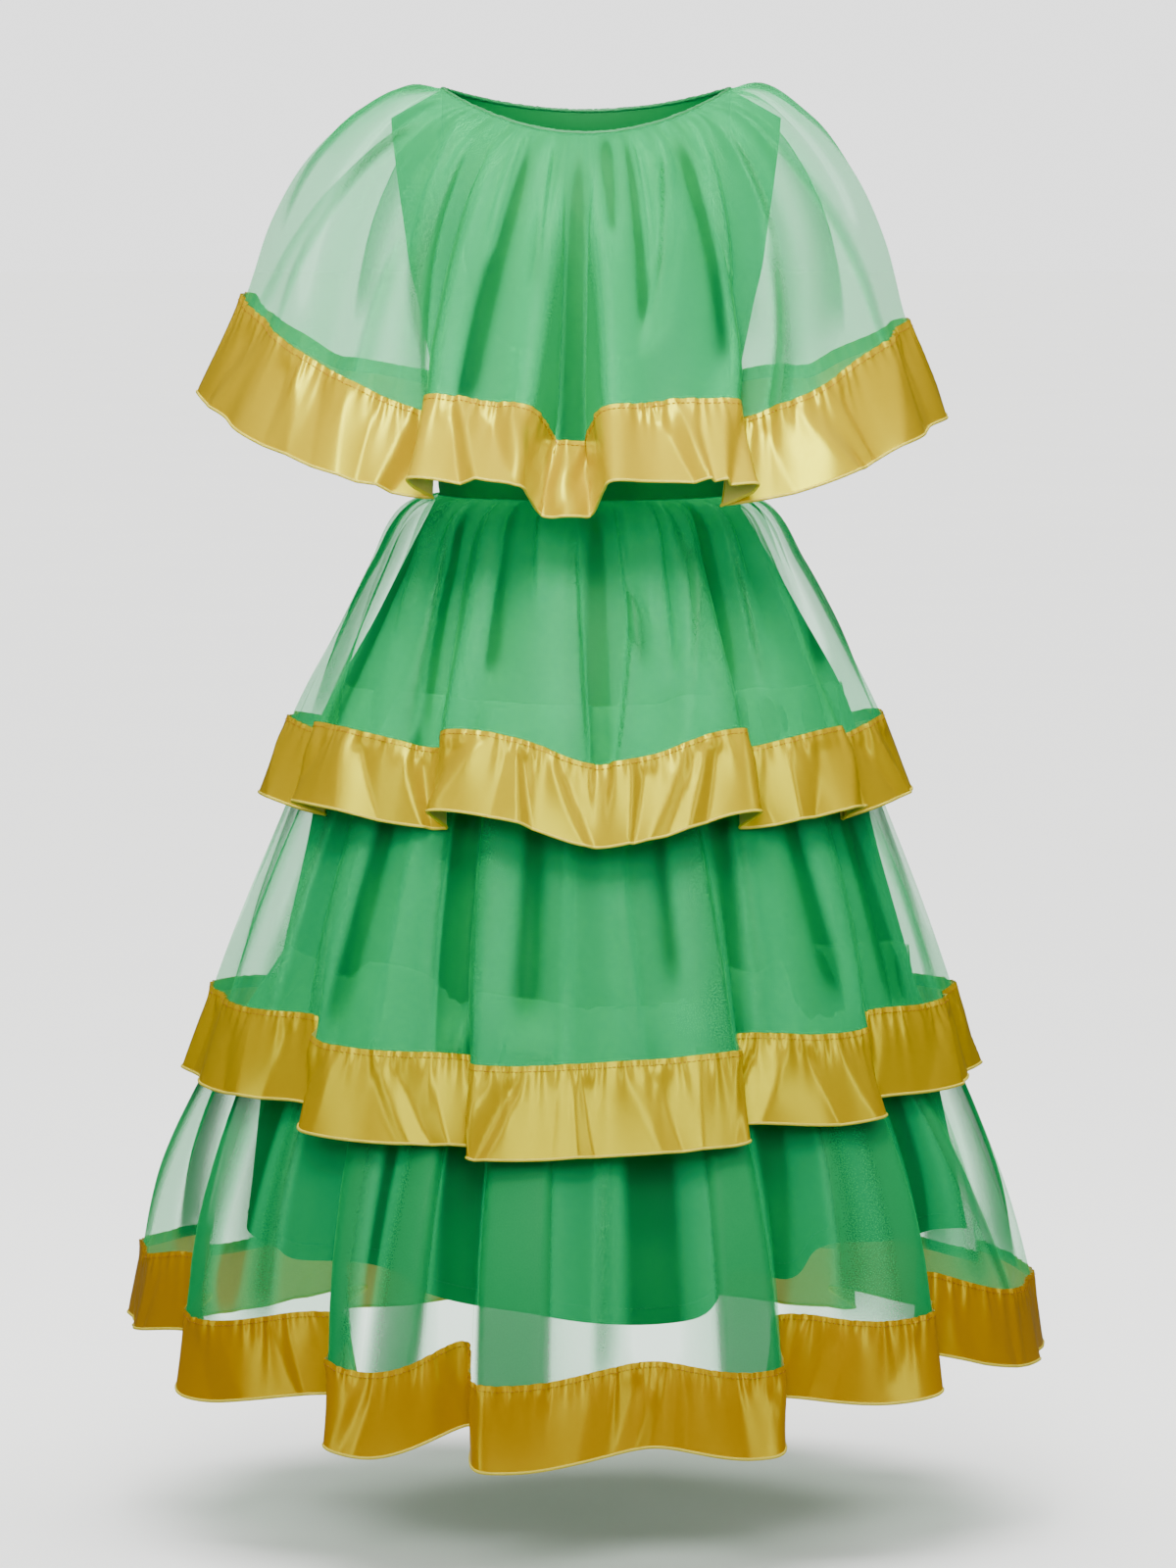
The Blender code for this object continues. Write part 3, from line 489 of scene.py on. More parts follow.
UNDERSKIRT_CREASES = columns(
    CREASE,
    (-52, -50, 0.1, 0.99, 6, 3, 0.006),
    (-37, -38, 0.3, 0.99, 3, 3, -0.005),
    (-24, -25, 0.2, 0.99, 5, 2, 0.006),
    (-13, -14, 0.4, 0.99, 2.4, 4, -0.0044),
    (-5, -4, 0.2, 0.99, 3, 5, 0.004),
    (6, 7, 0.16, 0.99, 3.5, 3.5, -0.0036),
    (17, 18, 0.24, 0.99, 2, 4, 0.0044),
    (29, 29, 0.2, 0.99, 2.6, 2.6, -0.005),
    (38, 38, 0.3, 0.99, 2, 4.6, 0.005),
    (50, 52, 0.1, 0.99, 4.5, 4.5, -0.004),
    (62, 63, 0.2, 0.99, 5, 2, 0.005),
    (82, 84, 0.2, 0.98, 5, 5, -0.0044),
    (-66, -67, 0.2, 0.98, 3, 3, -0.0044),
    (-88, -86, 0.16, 0.98, 5, 3, 0.005),
    (-108, -110, 0.2, 0.98, 4, 4, -0.0044),
    (-130, -128, 0.12, 0.98, 3, 5, 0.005),
    (-150, -151, 0.2, 0.98, 4, 4, -0.004),
    (-168, -170, 0.2, 0.98, 4.5, 3, 0.0046),
    (102, 103, 0.16, 0.98, 3, 5, 0.0048),
    (122, 124, 0.12, 0.98, 5, 5, -0.0044),
    (140, 141, 0.2, 0.98, 5, 3, 0.005),
    (158, 160, 0.18, 0.98, 4, 4, -0.0044),
    (176, 175, 0.2, 0.98, 3, 4, 0.004),
)

# The same for a panel of the bodice, but from -1 to 1 across it in place of degrees
BODICE_CREASES = columns(
    CREASE,
    (-0.62, -0.5, 0.1, 0.9, 0.1, 0.1, 0.0016),
    (-0.2, -0.16, 0.2, 0.96, 0.1, 0.1, -0.0014),
    (0.24, 0.2, 0.16, 0.94, 0.1, 0.1, 0.0014),
    (0.64, 0.52, 0.12, 0.92, 0.1, 0.1, 0.0016),
)


@dataclass
class Cloth:
    """A gathered tube of cloth: its rings, its folds, its creases and the gathers at its seam."""

    rings: dict
    folds: dict
    hem: dict
    creases: dict
    puckers: int  # how many fine, uneven gathers start at the seam
    pucker_height: float
    seed: int
    pucker_reach: float = 0.3  # how far down the longest of them run
    shift: float = 0.0  # how far the bottom edge sits towards +X
    growth: float = 1.3  # the folds deepen with this power of the way down
    gathers: int = 0  # how many small waves the seam has, all round
    gather_height: float = 0.0
    gather_at: float = 0.12  # where along the cloth the gathers stand highest
    carrier: object = None  # the cloth that the seam is sewn to
    carried_at: float = 0.0  # where along that cloth the seam runs
    bunched: float = 1.0  # how much cloth is caught in its creases, against the other tubes


UNDERSKIRT = Cloth(
    UNDERSKIRT_RINGS, UNDERSKIRT_FOLDS, UNDERSKIRT_HEM, UNDERSKIRT_CREASES,
    shift=0.015, growth=1.6, puckers=60, pucker_height=0.0004, seed=15,
)
CAPE = Cloth(
    CAPE_RINGS, CAPE_FOLDS, CAPE_HEM, CAPE_CREASES,
    shift=-0.0095, growth=1.35, gathers=30, gather_height=0.002, gather_at=0.09,
    puckers=104, pucker_height=0.0021, pucker_reach=0.3, seed=11,
)
TIER_1 = Cloth(
    TIER_1_RINGS, TIER_1_FOLDS, TIER_1_HEM, TIER_1_CREASES,
    growth=1.25, gathers=26, gather_height=0.0026,
    puckers=96, pucker_height=0.0023, pucker_reach=0.34, seed=12,
)
TIER_2 = Cloth(
    TIER_2_RINGS, TIER_2_FOLDS, TIER_2_HEM, TIER_2_CREASES,
    shift=-0.003, gathers=23, gather_height=0.0016, carrier=UNDERSKIRT, carried_at=0.252,
    puckers=120, pucker_height=0.002, pucker_reach=0.26, seed=13,
)
TIER_3 = Cloth(
    TIER_3_RINGS, TIER_3_FOLDS, TIER_3_HEM, TIER_3_CREASES,
    gathers=23, gather_height=0.0016, carrier=UNDERSKIRT, carried_at=0.62,
    puckers=140, pucker_height=0.002, pucker_reach=0.24, bunched=2.0, seed=14,
)

# Each row is one tube of organza: its columns and rows, its flat size and area as cut, and what
# it hangs from, then its ribbon's columns, flat size and how crisp its facets are.
BODICE_PANELS = ["bodice_front", "bodice_back"]
Tube = namedtuple(
    "Tube", "cloth columns rows flat area hangs_from ribbon_columns ribbon_flat crispness"
)
TUBES = {
    "cape": Tube(CAPE, 660, 42, (1.5, 0.24), 0.3, BODICE_PANELS, 1100, (1.76, 0.07), 1),
    "tier_1": Tube(TIER_1, 600, 34, (1.42, 0.205), 0.25, BODICE_PANELS, 1000, (1.64, 0.058), 1),
    "tier_2": Tube(TIER_2, 620, 38, (1.66, 0.255), 0.38, ["underskirt"], 1150, (1.85, 0.063), 0.85),
    "tier_3": Tube(TIER_3, 680, 42, (2.22, 0.27), 0.54, ["underskirt"], 1300, (2.42, 0.057), 0.4),
}

# The studio: the camera stands as the photo's did, level with the shoulders
FLOOR_SIZE, FLOOR_Z = 60, -1.02
AIM = (0.0014, 0.0, -0.4935)
CAMERA_AT = (0.0014, -5.0, 0.02)
SENSOR, CAMERA_LENS = 36, 161.6
ROOM_LIGHT = {"From Min": 0.35, "From Max": 0.95, "To Min": 0.08, "To Max": 1.3}  # dim to bright
BACKDROP_LIGHT = 2.2  # the room as the camera sees it beyond the floor
FLOOR_LIGHT, FLOOR_LIGHT_ANGLE = 5.35, 60  # wide in degrees, for soft shadows
# Each lamp's place and what it aims at, its width, height, spread in degrees and power
LIGHTS = (
    ("key", (-0.1, -1.0, 0.8), (0, 0, -0.2), 0.7, 0.7, 50, 2.9),
    ("front softbox", (-0.1, -1.7, 0.2), (0, 0, -0.3), 0.9, 0.7, 65, 2.1),
    ("left strip", (-1.7, -1.6, 0.1), (0, 0, -0.4), 0.5, 1.4, 140, 4.8),
    ("right strip", (1.8, -1.6, 0.1), (0, 0, -0.4), 0.5, 1.4, 140, 6.0),
    ("overhead", (0.0, 0.4, 3.2), (0, 0, -0.5), 3.0, 3.0, 180, 24),
    ("floor bounce", (0.0, 0.0, -1.01), (0, 0, 0), 1.3, 1.3, 180, 2.4),
)


def unit(vectors):
    """The same directions at length 1."""
    return vectors / np.linalg.norm(vectors, axis=-1, keepdims=True)


def smooth_step(x):
    """Rises smoothly from 0 to 1 as x does."""
    x = np.clip(x, 0.0, 1.0)
    return x * x * (3 - 2 * x)


def follow(x, knots, values):
    """A smooth curve through a table's rows, read at x."""
    slopes = np.gradient(values, knots)
    i = np.clip(np.searchsorted(knots, x, side="right") - 1, 0, len(knots) - 2)
    gap = knots[i + 1] - knots[i]
    t = np.clip((x - knots[i]) / gap, 0.0, 1.0)
    rise = values[i] * (1 + 2 * t) * (1 - t) ** 2 + values[i + 1] * t * t * (3 - 2 * t)
    return rise + gap * (slopes[i] * t * (1 - t) ** 2 - slopes[i + 1] * t * t * (1 - t))


def follow_round(turn, table):
    """The same for a table of levels at angles, which goes on round the dress."""
    knots = np.concatenate([table["turn"] - 360, table["turn"], table["turn"] + 360])
    return follow(turn, knots, np.tile(table["level"], 3))


def wrapped(turn):
    """The same angles between -180 and 180."""
    return (turn + 180) % 360 - 180


def fold_amounts(folds, turn):
    """How much depth, drop and tuck the folds give at an angle."""
    amounts = {name: np.zeros_like(turn) for name in ("depth", "drop", "tuck")}
    for i, at in enumerate(folds["turn"]):
        away = wrapped(turn - at)
        spread = np.where(away < 0, folds["left"][i], folds["right"][i])
        share = np.exp(-((away / spread) ** 2))
        for name, amount in amounts.items():
            amount += folds[name][i] * share
    return amounts


def ring_level(turn, side, front, back):
    """The height of a ring at an angle, from its heights at the side, front and back."""
    facing = np.cos(np.radians(turn)) ** 2
    return side + facing * (np.where(np.abs(turn) < 90, front, back) - side)


def fold_points(cloth, turn, along):
    """Points of the cloth at angles and ways down, without its small gathers."""
    ring = {name: follow(along, cloth.rings["along"], cloth.rings[name]) for name in RING.split()}
    folds = fold_amounts(cloth.folds, turn)
    grown = along**cloth.growth
    angle = np.radians(turn + folds["tuck"] * grown**2)
    in_front = np.cos(angle) > 0
    x = ring["side"] * np.sin(angle)
    y = -np.where(in_front, ring["front"], ring["back"]) * np.cos(angle)
    drawn_in = 1 - folds["depth"] * grown / np.hypot(x, y)
    heights = ("z_side", "z_front", "z_back")
    z = ring_level(turn, *(ring[name] for name in heights))
    even_end = ring_level(turn, *(cloth.rings[name][-1] for name in heights))
    settled = smooth_step(along / cloth.rings["along"][-2])
    z = z + settled * (follow_round(turn, cloth.hem) - even_end - folds["drop"])
    return np.stack([x * drawn_in + cloth.shift * along, y * drawn_in, z], axis=-1)


def spread_turns(cloth, count):
    """Angles for the columns of a tube: closer together where the bottom edge is folded."""
    turn = np.linspace(-180, 180, HEM_SAMPLES)
    edge = fold_points(cloth, turn, np.ones_like(turn))
    steps = np.linalg.norm(np.diff(edge, axis=0), axis=1)
    way = np.concatenate([[0], np.cumsum(steps)]) / steps.sum()
    way = FOLLOW_HEM * way + (1 - FOLLOW_HEM) * (turn + 180) / 360
    return np.interp(np.arange(count) / count, way, turn)


def creases(table, turn, along, tail, rise=RISE):
    """How far the listed creases lift the cloth. Each rises first and fades in its tail."""
    lift = np.zeros_like(turn)
    for at, to, start, end, left, right, height in np.stack(list(table.values()), axis=-1):
        way = (along - start) / (end - start)
        away = wrapped(turn - at - (to - at) * np.clip(way, 0, 1))
        away = away / np.where(away < 0, left, right)
        fade = smooth_step(way / rise) * smooth_step((1 - way) / tail)
        lift += height * fade * np.exp(-(away**2))
    return lift


def puckers(cloth, turn, along):
    """How far the fine gathers at the seam lift the cloth. Each has its own place and size."""
    draw = np.random.default_rng(cloth.seed)
    lift = np.zeros_like(turn)
    step = 360 / cloth.puckers
    for i in range(cloth.puckers):
        at = i * step - 180 + draw.uniform(*PUCKER_PLACE) * step
        reach = cloth.pucker_reach * draw.uniform(*PUCKER_REACH)
        width = step * draw.uniform(*PUCKER_WIDTH)
        height = cloth.pucker_height * draw.uniform(*PUCKER_SIZE)
        lean = step * draw.uniform(*PUCKER_LEAN)
        down = along / reach
        away = wrapped(turn - at - lean * down) / (width * (1 + PUCKER_WIDENS * down))
        lift += height * np.exp(-(down**PUCKER_FALL)) * np.exp(-(away**2))
    return lift * (HELD_FLAT + (1 - HELD_FLAT) * smooth_step(along / FREE_FROM))


def cloth_rows(cloth, count, alongs):
    """Rows of points down the cloth, and how far its creases lift the cloth bunched in them."""
    turn, along = np.meshgrid(spread_turns(cloth, count), np.array(alongs, float))
    points = fold_points(cloth, turn, along)
    if cloth.carrier is not None:
        seat = fold_points(cloth.carrier, turn, np.full_like(turn, cloth.carried_at))
        seat[..., :2] *= 1 + SEAT / np.hypot(seat[..., 0], seat[..., 1])[..., None]
        held = (1 - smooth_step(along / SEATED_TO))[..., None]
        points = points * (1 - held) + seat * held
    pace = (np.roll(turn, -1, axis=1) - np.roll(turn, 1, axis=1)) % 360 / (2 * 360 / count)
    rise = along / cloth.gather_at * np.exp(1 - along / cloth.gather_at)
    wave = np.sin(2 * np.pi * cloth.gathers * np.arange(count) / count)
    wave = wave * cloth.gather_height * rise * np.minimum(pace, 1.0) ** 2
    points[..., :2] *= 1 + (wave / np.hypot(points[..., 0], points[..., 1]))[..., None]
    lift = creases(cloth.creases, turn, along, LIFT_TAIL) + puckers(cloth, turn, along)
    points = points + grid_normals(points) * lift[..., None]
    return points, cloth.bunched * creases(cloth.creases, turn, along, BUNCHED_TAIL)


def grid_normals(points):
    """Unit normals away from the wearer, for rows that run round the dress towards +X."""
    across = np.roll(points, -1, axis=1) - np.roll(points, 1, axis=1)
    return unit(np.cross(np.gradient(points, axis=0), across))


def across_and_down(points, closed=True):
    """Cloth coordinates in metres: round the dress along the middle row, and down the sheet."""
    middle = points[len(points) // 2]
    ends = np.concatenate([middle, middle[:1]]) if closed else middle
    across = np.concatenate([[0], np.cumsum(np.linalg.norm(np.diff(ends, axis=0), axis=-1))])
    steps = np.linalg.norm(np.diff(points, axis=0), axis=-1).mean(axis=1)
    down = np.concatenate([[0], np.cumsum(steps)])
    return np.stack(np.meshgrid(across, down), axis=-1)


def shell(name, outer, inner, materials, closed=True, density=None):
    """A thin closed skin of cloth between two grids of points, rows downward, columns round it.

    Its UV map is in metres of cloth. The second material, if any, is for the inner face."""
    rows, count = outer.shape[:2]
    vertex = np.arange(2 * rows * count).reshape(2, rows, count)
    uv_points = across_and_down(outer, closed)
    uv_at = np.arange(rows * uv_points.shape[1]).reshape(rows, -1)
    here = np.arange(count if closed else count - 1)
    after = (here + 1) % count
    faces, uv_faces, slots = [], [], []

    def add(slot, *corners):
        """Adds faces from four corners, each a skin, a slice of rows and the side it is on."""
        picked = [vertex[skin][line][..., (here, after)[side]] for skin, line, side in corners]
        faces.append(np.stack(picked, axis=-1).reshape(-1, 4))
        laid = [uv_at[line][..., here + side] for skin, line, side in corners]
        uv_faces.append(np.stack(laid, axis=-1).reshape(-1, 4))
        slots.append(np.full(len(faces[-1]), slot))

    upper, lower = slice(0, rows - 1), slice(1, rows)
    top, bottom = slice(0, 1), slice(rows - 1, rows)
    add(0, (0, upper, 0), (0, lower, 0), (0, lower, 1), (0, upper, 1))
    add(len(materials) - 1, (1, upper, 0), (1, upper, 1), (1, lower, 1), (1, lower, 0))
    add(0, (0, top, 0), (0, top, 1), (1, top, 1), (1, top, 0))
    add(0, (0, bottom, 0), (1, bottom, 0), (1, bottom, 1), (0, bottom, 1))
    if not closed:
        for column, order in ((0, (0, 1, 2, 3)), (count - 1, (0, 3, 2, 1))):
            ring = [(0, upper), (1, upper), (1, lower), (0, lower)]
            picked = [vertex[skin][line, column] for skin, line in ring]
            laid = [uv_at[line, column] for skin, line in ring]
            faces.append(np.stack([picked[k] for k in order], axis=-1))
            uv_faces.append(np.stack([laid[k] for k in order], axis=-1))
            slots.append(np.zeros(rows - 1, int))

    mesh = bpy.data.meshes.new(name)
    points = np.concatenate([outer.reshape(-1, 3), inner.reshape(-1, 3)])
    mesh.from_pydata(points.tolist(), [], np.concatenate(faces).tolist())
    uv = mesh.uv_layers.new(name=CLOTH_UV)
    uv.data.foreach_set("uv", uv_points.reshape(-1, 2)[np.concatenate(uv_faces).ravel()].ravel())
    mesh.polygons.foreach_set("material_index", np.concatenate(slots))
    if density is not None:
        held = mesh.attributes.new(DENSITY, "FLOAT", "POINT")
        held.data.foreach_set("value", np.tile(density.ravel(), 2))
    for material in materials:
        mesh.materials.append(material)
    mesh.shade_smooth()
    mesh.set_sharp_from_angle(angle=np.radians(SMOOTH_UP_TO))
    mesh.validate()
    return show(name, mesh)


def in_scene(name, data):
    """A new object, linked into the scene."""
    item = bpy.data.objects.new(name, data)
    bpy.context.scene.collection.objects.link(item)
    return item


def show(name, mesh):
    """Puts a mesh into the scene as a piece that rides on the dress's one body."""
    item = in_scene(name, mesh)
    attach(item, "root")
    return item


def closed_piece(name, points, faces, material):
    """A smooth piece of closed skins, from its points and the corners of its faces."""
    mesh = bpy.data.meshes.new(name)
    mesh.from_pydata(points.reshape(-1, 3).tolist(), [], faces.reshape(-1, 4).tolist())
    outwards = bmesh.new()
    outwards.from_mesh(mesh)
    bmesh.ops.recalc_face_normals(outwards, faces=outwards.faces)
    outwards.to_mesh(mesh)
    outwards.free()
    mesh.materials.append(material)
    mesh.shade_smooth()
    return show(name, mesh)


def roll(name, path, outward, radius, sides, material):
    """A closed round roll of cloth or thread along a path."""
    tangent = unit(np.roll(path, -1, axis=0) - np.roll(path, 1, axis=0))
    binormal = unit(np.cross(tangent, outward))
    normal = np.cross(binormal, tangent)
    around = 2 * np.pi * np.arange(sides) / sides
    ring = np.cos(around)[:, None] * normal[:, None] + np.sin(around)[:, None] * binormal[:, None]
    points = path[:, None] + radius * ring
    vertex = np.arange(len(path) * sides).reshape(len(path), sides)
    after, beside = np.roll(vertex, -1, axis=0), np.roll(vertex, -1, axis=1)
    faces = np.stack([vertex, beside, np.roll(after, -1, axis=1), after], axis=-1)
    return closed_piece(name, points, faces, material)


def evenly(path, outward, step):
    """Points at even steps along a closed path, with the ways outward and along it there."""
    ends = np.concatenate([path, path[:1]])
    way = np.concatenate([[0], np.cumsum(np.linalg.norm(np.diff(ends, axis=0), axis=-1))])
    count = int(way[-1] / step)
    wanted = np.arange(count) * way[-1] / count
    out_ends = np.concatenate([outward, outward[:1]])
    points = np.stack([np.interp(wanted, way, ends[:, k]) for k in range(3)], axis=-1)
    out = unit(np.stack([np.interp(wanted, way, out_ends[:, k]) for k in range(3)], axis=-1))
    return points, out, unit(np.roll(points, -1, axis=0) - np.roll(points, 1, axis=0))


def stitches(name, path, outward, material):
    """A line of sewing: one small tapered stitch after another, lying on the cloth."""
    points, out, forward = evenly(path, outward, STITCH_STEP)
    side = np.cross(out, forward)
    corners = [
        forward * STITCH_LENGTH * at
        + STITCH_RADIUS * size * (np.cos(a) * out + np.sin(a) * side)
        for at, size in STITCH_RINGS
        for a in np.pi * (np.arange(4) / 2 + 0.25)
    ]
    proud = out[:, None] * STITCH_RADIUS * STITCH_PROUD
    stitch = points[:, None] + proud + np.stack(corners, axis=1)
    faces = [(0, 1, 2, 3), (11, 10, 9, 8)]  # its two ends, then its sides from ring to ring
    for ring in (0, 4):
        for k in range(4):
            after = (k + 1) % 4
            faces.append((ring + k, ring + 4 + k, ring + 4 + after, ring + after))
    starts = np.arange(len(points))[:, None, None] * len(corners)
    return closed_piece(name, stitch, starts + np.array(faces), material)


def crumple(across, down, length, seed):
    """Height of a satin ribbon's crisp facets, flat from one crease to the next.

    The creases run from edge to edge and never cross, so that some facets are wedges."""
    draw = np.random.default_rng(seed)
    sizes, chances = zip(*FACET_WIDTHS)
    count = int(length / np.dot(sizes, chances)) // 2 * 2
    widths = draw.choice(sizes, count, p=chances)
    even = np.cumsum(widths) * length / widths.sum()
    room = np.minimum(widths, np.roll(widths, -1))
    sway = SWAY[0] * np.sin(2 * np.pi * (SWAY[1] * even / length + draw.uniform()))
    lines = [
        np.sort(even + lean + room * draw.uniform(*FACET_STRAY, count)) for lean in (-sway, sway)
    ]
    steep = draw.uniform(*FACET_STEEPNESS, count) * np.where(np.arange(count) % 2, 1, -1)
    heights = steep * np.minimum(FACET_SLOPE * (widths + np.roll(widths, -1)) / 4, FACET_HEIGHT)
    foot = draw.uniform(*FACET_FOOT, count)
    lift = np.zeros_like(across)
    for row, share in enumerate(down[:, 0]):
        creased = lines[0] * (1 - share) + lines[1] * share
        grown = FACET_AT_SEAM + (1 - FACET_AT_SEAM) * smooth_step(share / FACET_FULL_FROM)
        now = heights * (1 + (foot - 1) * share)
        lift[row] = grown * np.interp(across[row] % length, creased, now, period=length)
    return lift


def gathered_edge(across, down, length, seed):
    """Height of the short sharp puckers where a ribbon is sewn on."""
    draw = np.random.default_rng(seed)
    lift = np.zeros_like(across)
    at = 0.0
    while at < length:
        width = draw.uniform(*EDGE_WIDTH)
        reach = draw.uniform(*EDGE_REACH)
        height = draw.uniform(*EDGE_SIZE) * EDGE_PUCKER
        lean = draw.uniform(*EDGE_LEAN)
        away = (across - at - lean * down + length / 2) % length - length / 2
        away = away / (width * (1 + EDGE_WIDENS * down / reach))
        lift += height * np.exp(-(away**2)) * np.exp(-down / reach)
        at += draw.uniform(*EDGE_STEP)
    return lift


def how_square(points, normals):
    """How squarely the cloth faces away from the wearer: 1 if it does, 0 on a fold's side."""
    half = np.abs(points[..., :2]).max(axis=1, keepdims=True)
    even = unit(points[..., :2] / half**2)
    return np.abs((unit(normals[..., :2]) * even).sum(axis=-1))


def how_dense(points, normals, lift):
    """How many times the cloth's own thickness is seen: more in folds and where it slants."""
    folded = np.clip(1 + lift / LIFT_A_LAYER, *LAYERS)
    aside = 1 + DENSER_ASIDE * unit(points[..., :2])[..., 0] ** 2
    return folded * aside / np.maximum(how_square(points, normals), MOST_SLANTED)


def organza_tube(name, tube, finishes):
    """The sheer cloth of a cape or tier, from its seam to just under its ribbon's top edge."""
    cloth = tube.cloth
    seam = cloth.rings["along"][-2]
    rows = np.linspace(0, 1, tube.rows, endpoint=False) ** ORGANZA_CROWDED * seam
    lapped = seam + (1 - seam) * RIBBON_SHARES[:LAPPED_ROWS]
    points, lift = cloth_rows(cloth, tube.columns, np.concatenate([rows, lapped]))
    normals = grid_normals(points)
    inner = points + normals * SEAM_GAP
    outer = inner + normals * ORGANZA_THICK
    dense = how_dense(points, normals, lift)
    sheer = shell(name + "_organza", outer, inner, [finishes["organza"]], density=dense)
    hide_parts(name)
    binding = [neck_binding(finishes)] if cloth is CAPE else []
    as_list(tube.hangs_from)


def ribbon_band(name, tube, finishes):
    """The ribbon on a bottom edge, with the sewing along its top and the roll along its foot, whose
    pale lemon colour is a painted highlight.
    """
    cloth = tube.cloth
    seam = cloth.rings["along"][-2]
    points, _ = cloth_rows(cloth, tube.ribbon_columns, seam + (1 - seam) * RIBBON_SHARES)
    normals = grid_normals(points)
    across, down = np.moveaxis(across_and_down(points)[:, :-1], -1, 0)
    down = down / down[-1, 0]
    middle = points[len(points) // 2]
    length = np.linalg.norm(np.diff(middle, axis=0, append=middle[:1]), axis=-1).sum()
    calm = smooth_step(how_square(points, normals) / CALM_BELOW)
    lift = tube.crispness * calm * crumple(across, down, length, cloth.seed)
    lift[:LAPPED_ROWS] = np.maximum(lift[:LAPPED_ROWS], -SEAM_GAP)  # clear of the organza
    gathers = calm * gathered_edge(across, down, length, cloth.seed + 1)
    lift += gathers
    base = points + normals * (RIBBON_OUT + lift[..., None])
    base[..., 2] -= EDGE_DIP * gathers
    outward = grid_normals(base)
    face = base + outward * RIBBON_THICK
    ribbon = shell(name + "_ribbon_satin", face, base, [finishes["ribbon"], finishes["reverse"]])
    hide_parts(name + "_ribbon")

    sewn = face[1] * (1 - SEWN_AT) + face[2] * SEWN_AT
    seam_line = stitches(name + "_ribbon_sewing", sewn, outward[2], finishes["gold thread"])
    foot = (face[-1] + base[-1]) / 2
    # the roll along the foot is painted pale lemon yellow: a painted highlight, brighter than the
    # ribbon's gold
    rolled = finishes["rolled edge"]
    edge = roll(name + "_ribbon_edge", foot, outward[-1], ROLLED_EDGE, ROLLED_SIDES, rolled)


def neck_points(turn):
    """The neckline, where the bodice and the cape meet the binding."""
    angle = np.radians(turn)
    in_front = np.cos(angle) > 0
    depth = np.where(in_front, NECK_FRONT, NECK_BACK)
    dip = np.where(in_front, NECK_DIP_FRONT, NECK_DIP_BACK)
    x, y, z = NECK_SIDE * np.sin(angle), -depth * np.cos(angle), -dip * np.cos(angle) ** 2
    return np.stack([x, y, z], axis=-1)


def bodice_points(facing, across, down):
    """Points of a bodice panel: across from -1 to 1 at its side edges, down from 0 to 1."""
    to_neck_end = 90 * np.clip(across / NECK_SHARE, -1, 1)
    neck = neck_points(to_neck_end if facing == "front" else 180 - to_neck_end)
    on_strap = np.clip((np.abs(across) - NECK_SHARE) / (1 - NECK_SHARE), 0, 1)
    top_x = neck[..., 0] + np.sign(across) * on_strap * (SHOULDER_TIP - NECK_SIDE)
    top_z = neck[..., 2] - on_strap * SHOULDER_DROP
    z = top_z + (WAIST_Z - top_z) * down
    level = {name: follow(z, BODICE["z"], BODICE[name]) for name in ("side", facing, "armhole")}
    level["armhole"] = np.maximum(level["armhole"], 0)  # closed below the armhole
    share = top_x / SHOULDER_TIP
    share = share + (np.sin(np.pi / 2 * across) - share) * smooth_step(down)
    full = level[facing] ** 2 - level["armhole"] ** 2
    y = np.sqrt(np.maximum(full * (1 - share**2) + level["armhole"] ** 2, 0))
    held = (1 - np.clip(down / CHEST_FROM, 0, 1)) ** 2
    y = held * np.abs(neck[..., 1]) + (1 - held) * y
    return np.stack([share * level["side"], -y if facing == "front" else y, z], axis=-1)


def bodice_panel(facing, finishes):
    """The front or back of the bodice, in satin, with a few soft drags across it."""
    strap = np.linspace(NECK_SHARE, 1, STRAP_COLUMNS)[1:]
    half = np.concatenate([np.linspace(0, NECK_SHARE, PANEL_COLUMNS), strap])
    columns_across = np.concatenate([-half[:0:-1], half])
    levels = np.linspace(0, 1, PANEL_ROWS) ** PANEL_CROWDED
    across, down = np.meshgrid(columns_across, levels)
    points = bodice_points(facing, across, down)
    fall = bodice_points(facing, across, down + TINY) - bodice_points(facing, across, down - TINY)
    inside = np.clip(across, -1 + TINY, 1 - TINY)
    run = bodice_points(facing, inside + TINY, down) - bodice_points(facing, inside - TINY, down)
    normal = unit(np.cross(fall, run) if facing == "front" else np.cross(run, fall))
    lift = creases(BODICE_CREASES, across, down, BODICE_FADE, rise=BODICE_FADE)
    turned_in = -SEAM_TURN * smooth_step((down - SEAM_TURN_FROM) / (1 - SEAM_TURN_FROM))
    outer = points + normal * (lift + turned_in)[..., None]
    inner = outer - normal * SATIN_THICK
    side = -1 if facing == "front" else 1
    for grid in (outer, inner):
        grid[..., 1] = side * np.maximum(side * grid[..., 1], 0)  # not past the side seam
    if facing == "back":
        outer, inner = outer[:, ::-1], inner[:, ::-1]
    panel = shell("bodice_" + facing + "_satin", outer, inner, [finishes["lining"]], closed=False)
    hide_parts("bodice_" + facing)


def neck_binding(finishes):
    """The narrow gathered roll round the neckline."""
    turn = np.arange(-180.0, 180.0)
    edge = neck_points(turn)
    below = fold_points(CAPE, turn, np.full_like(turn, CAPE.gather_at / 4))
    fall = unit(unit(below - edge) + [0, 0, -1])
    run = unit(np.roll(edge, -1, axis=0) - np.roll(edge, 1, axis=0))
    draw = np.random.default_rng(CAPE.seed)
    centre = edge - fall * (BINDING_RADIUS * draw.uniform(*BINDING_SUNK, (len(edge), 1)))
    radius = BINDING_RADIUS * draw.uniform(*BINDING_UNEVEN, (len(edge), 1, 1))
    outward = np.cross(fall, run)
    binding = roll(
        "neck_binding_roll", centre, outward, radius, BINDING_SIDES, finishes["binding"]
    )
    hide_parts("neck_binding")
    return binding


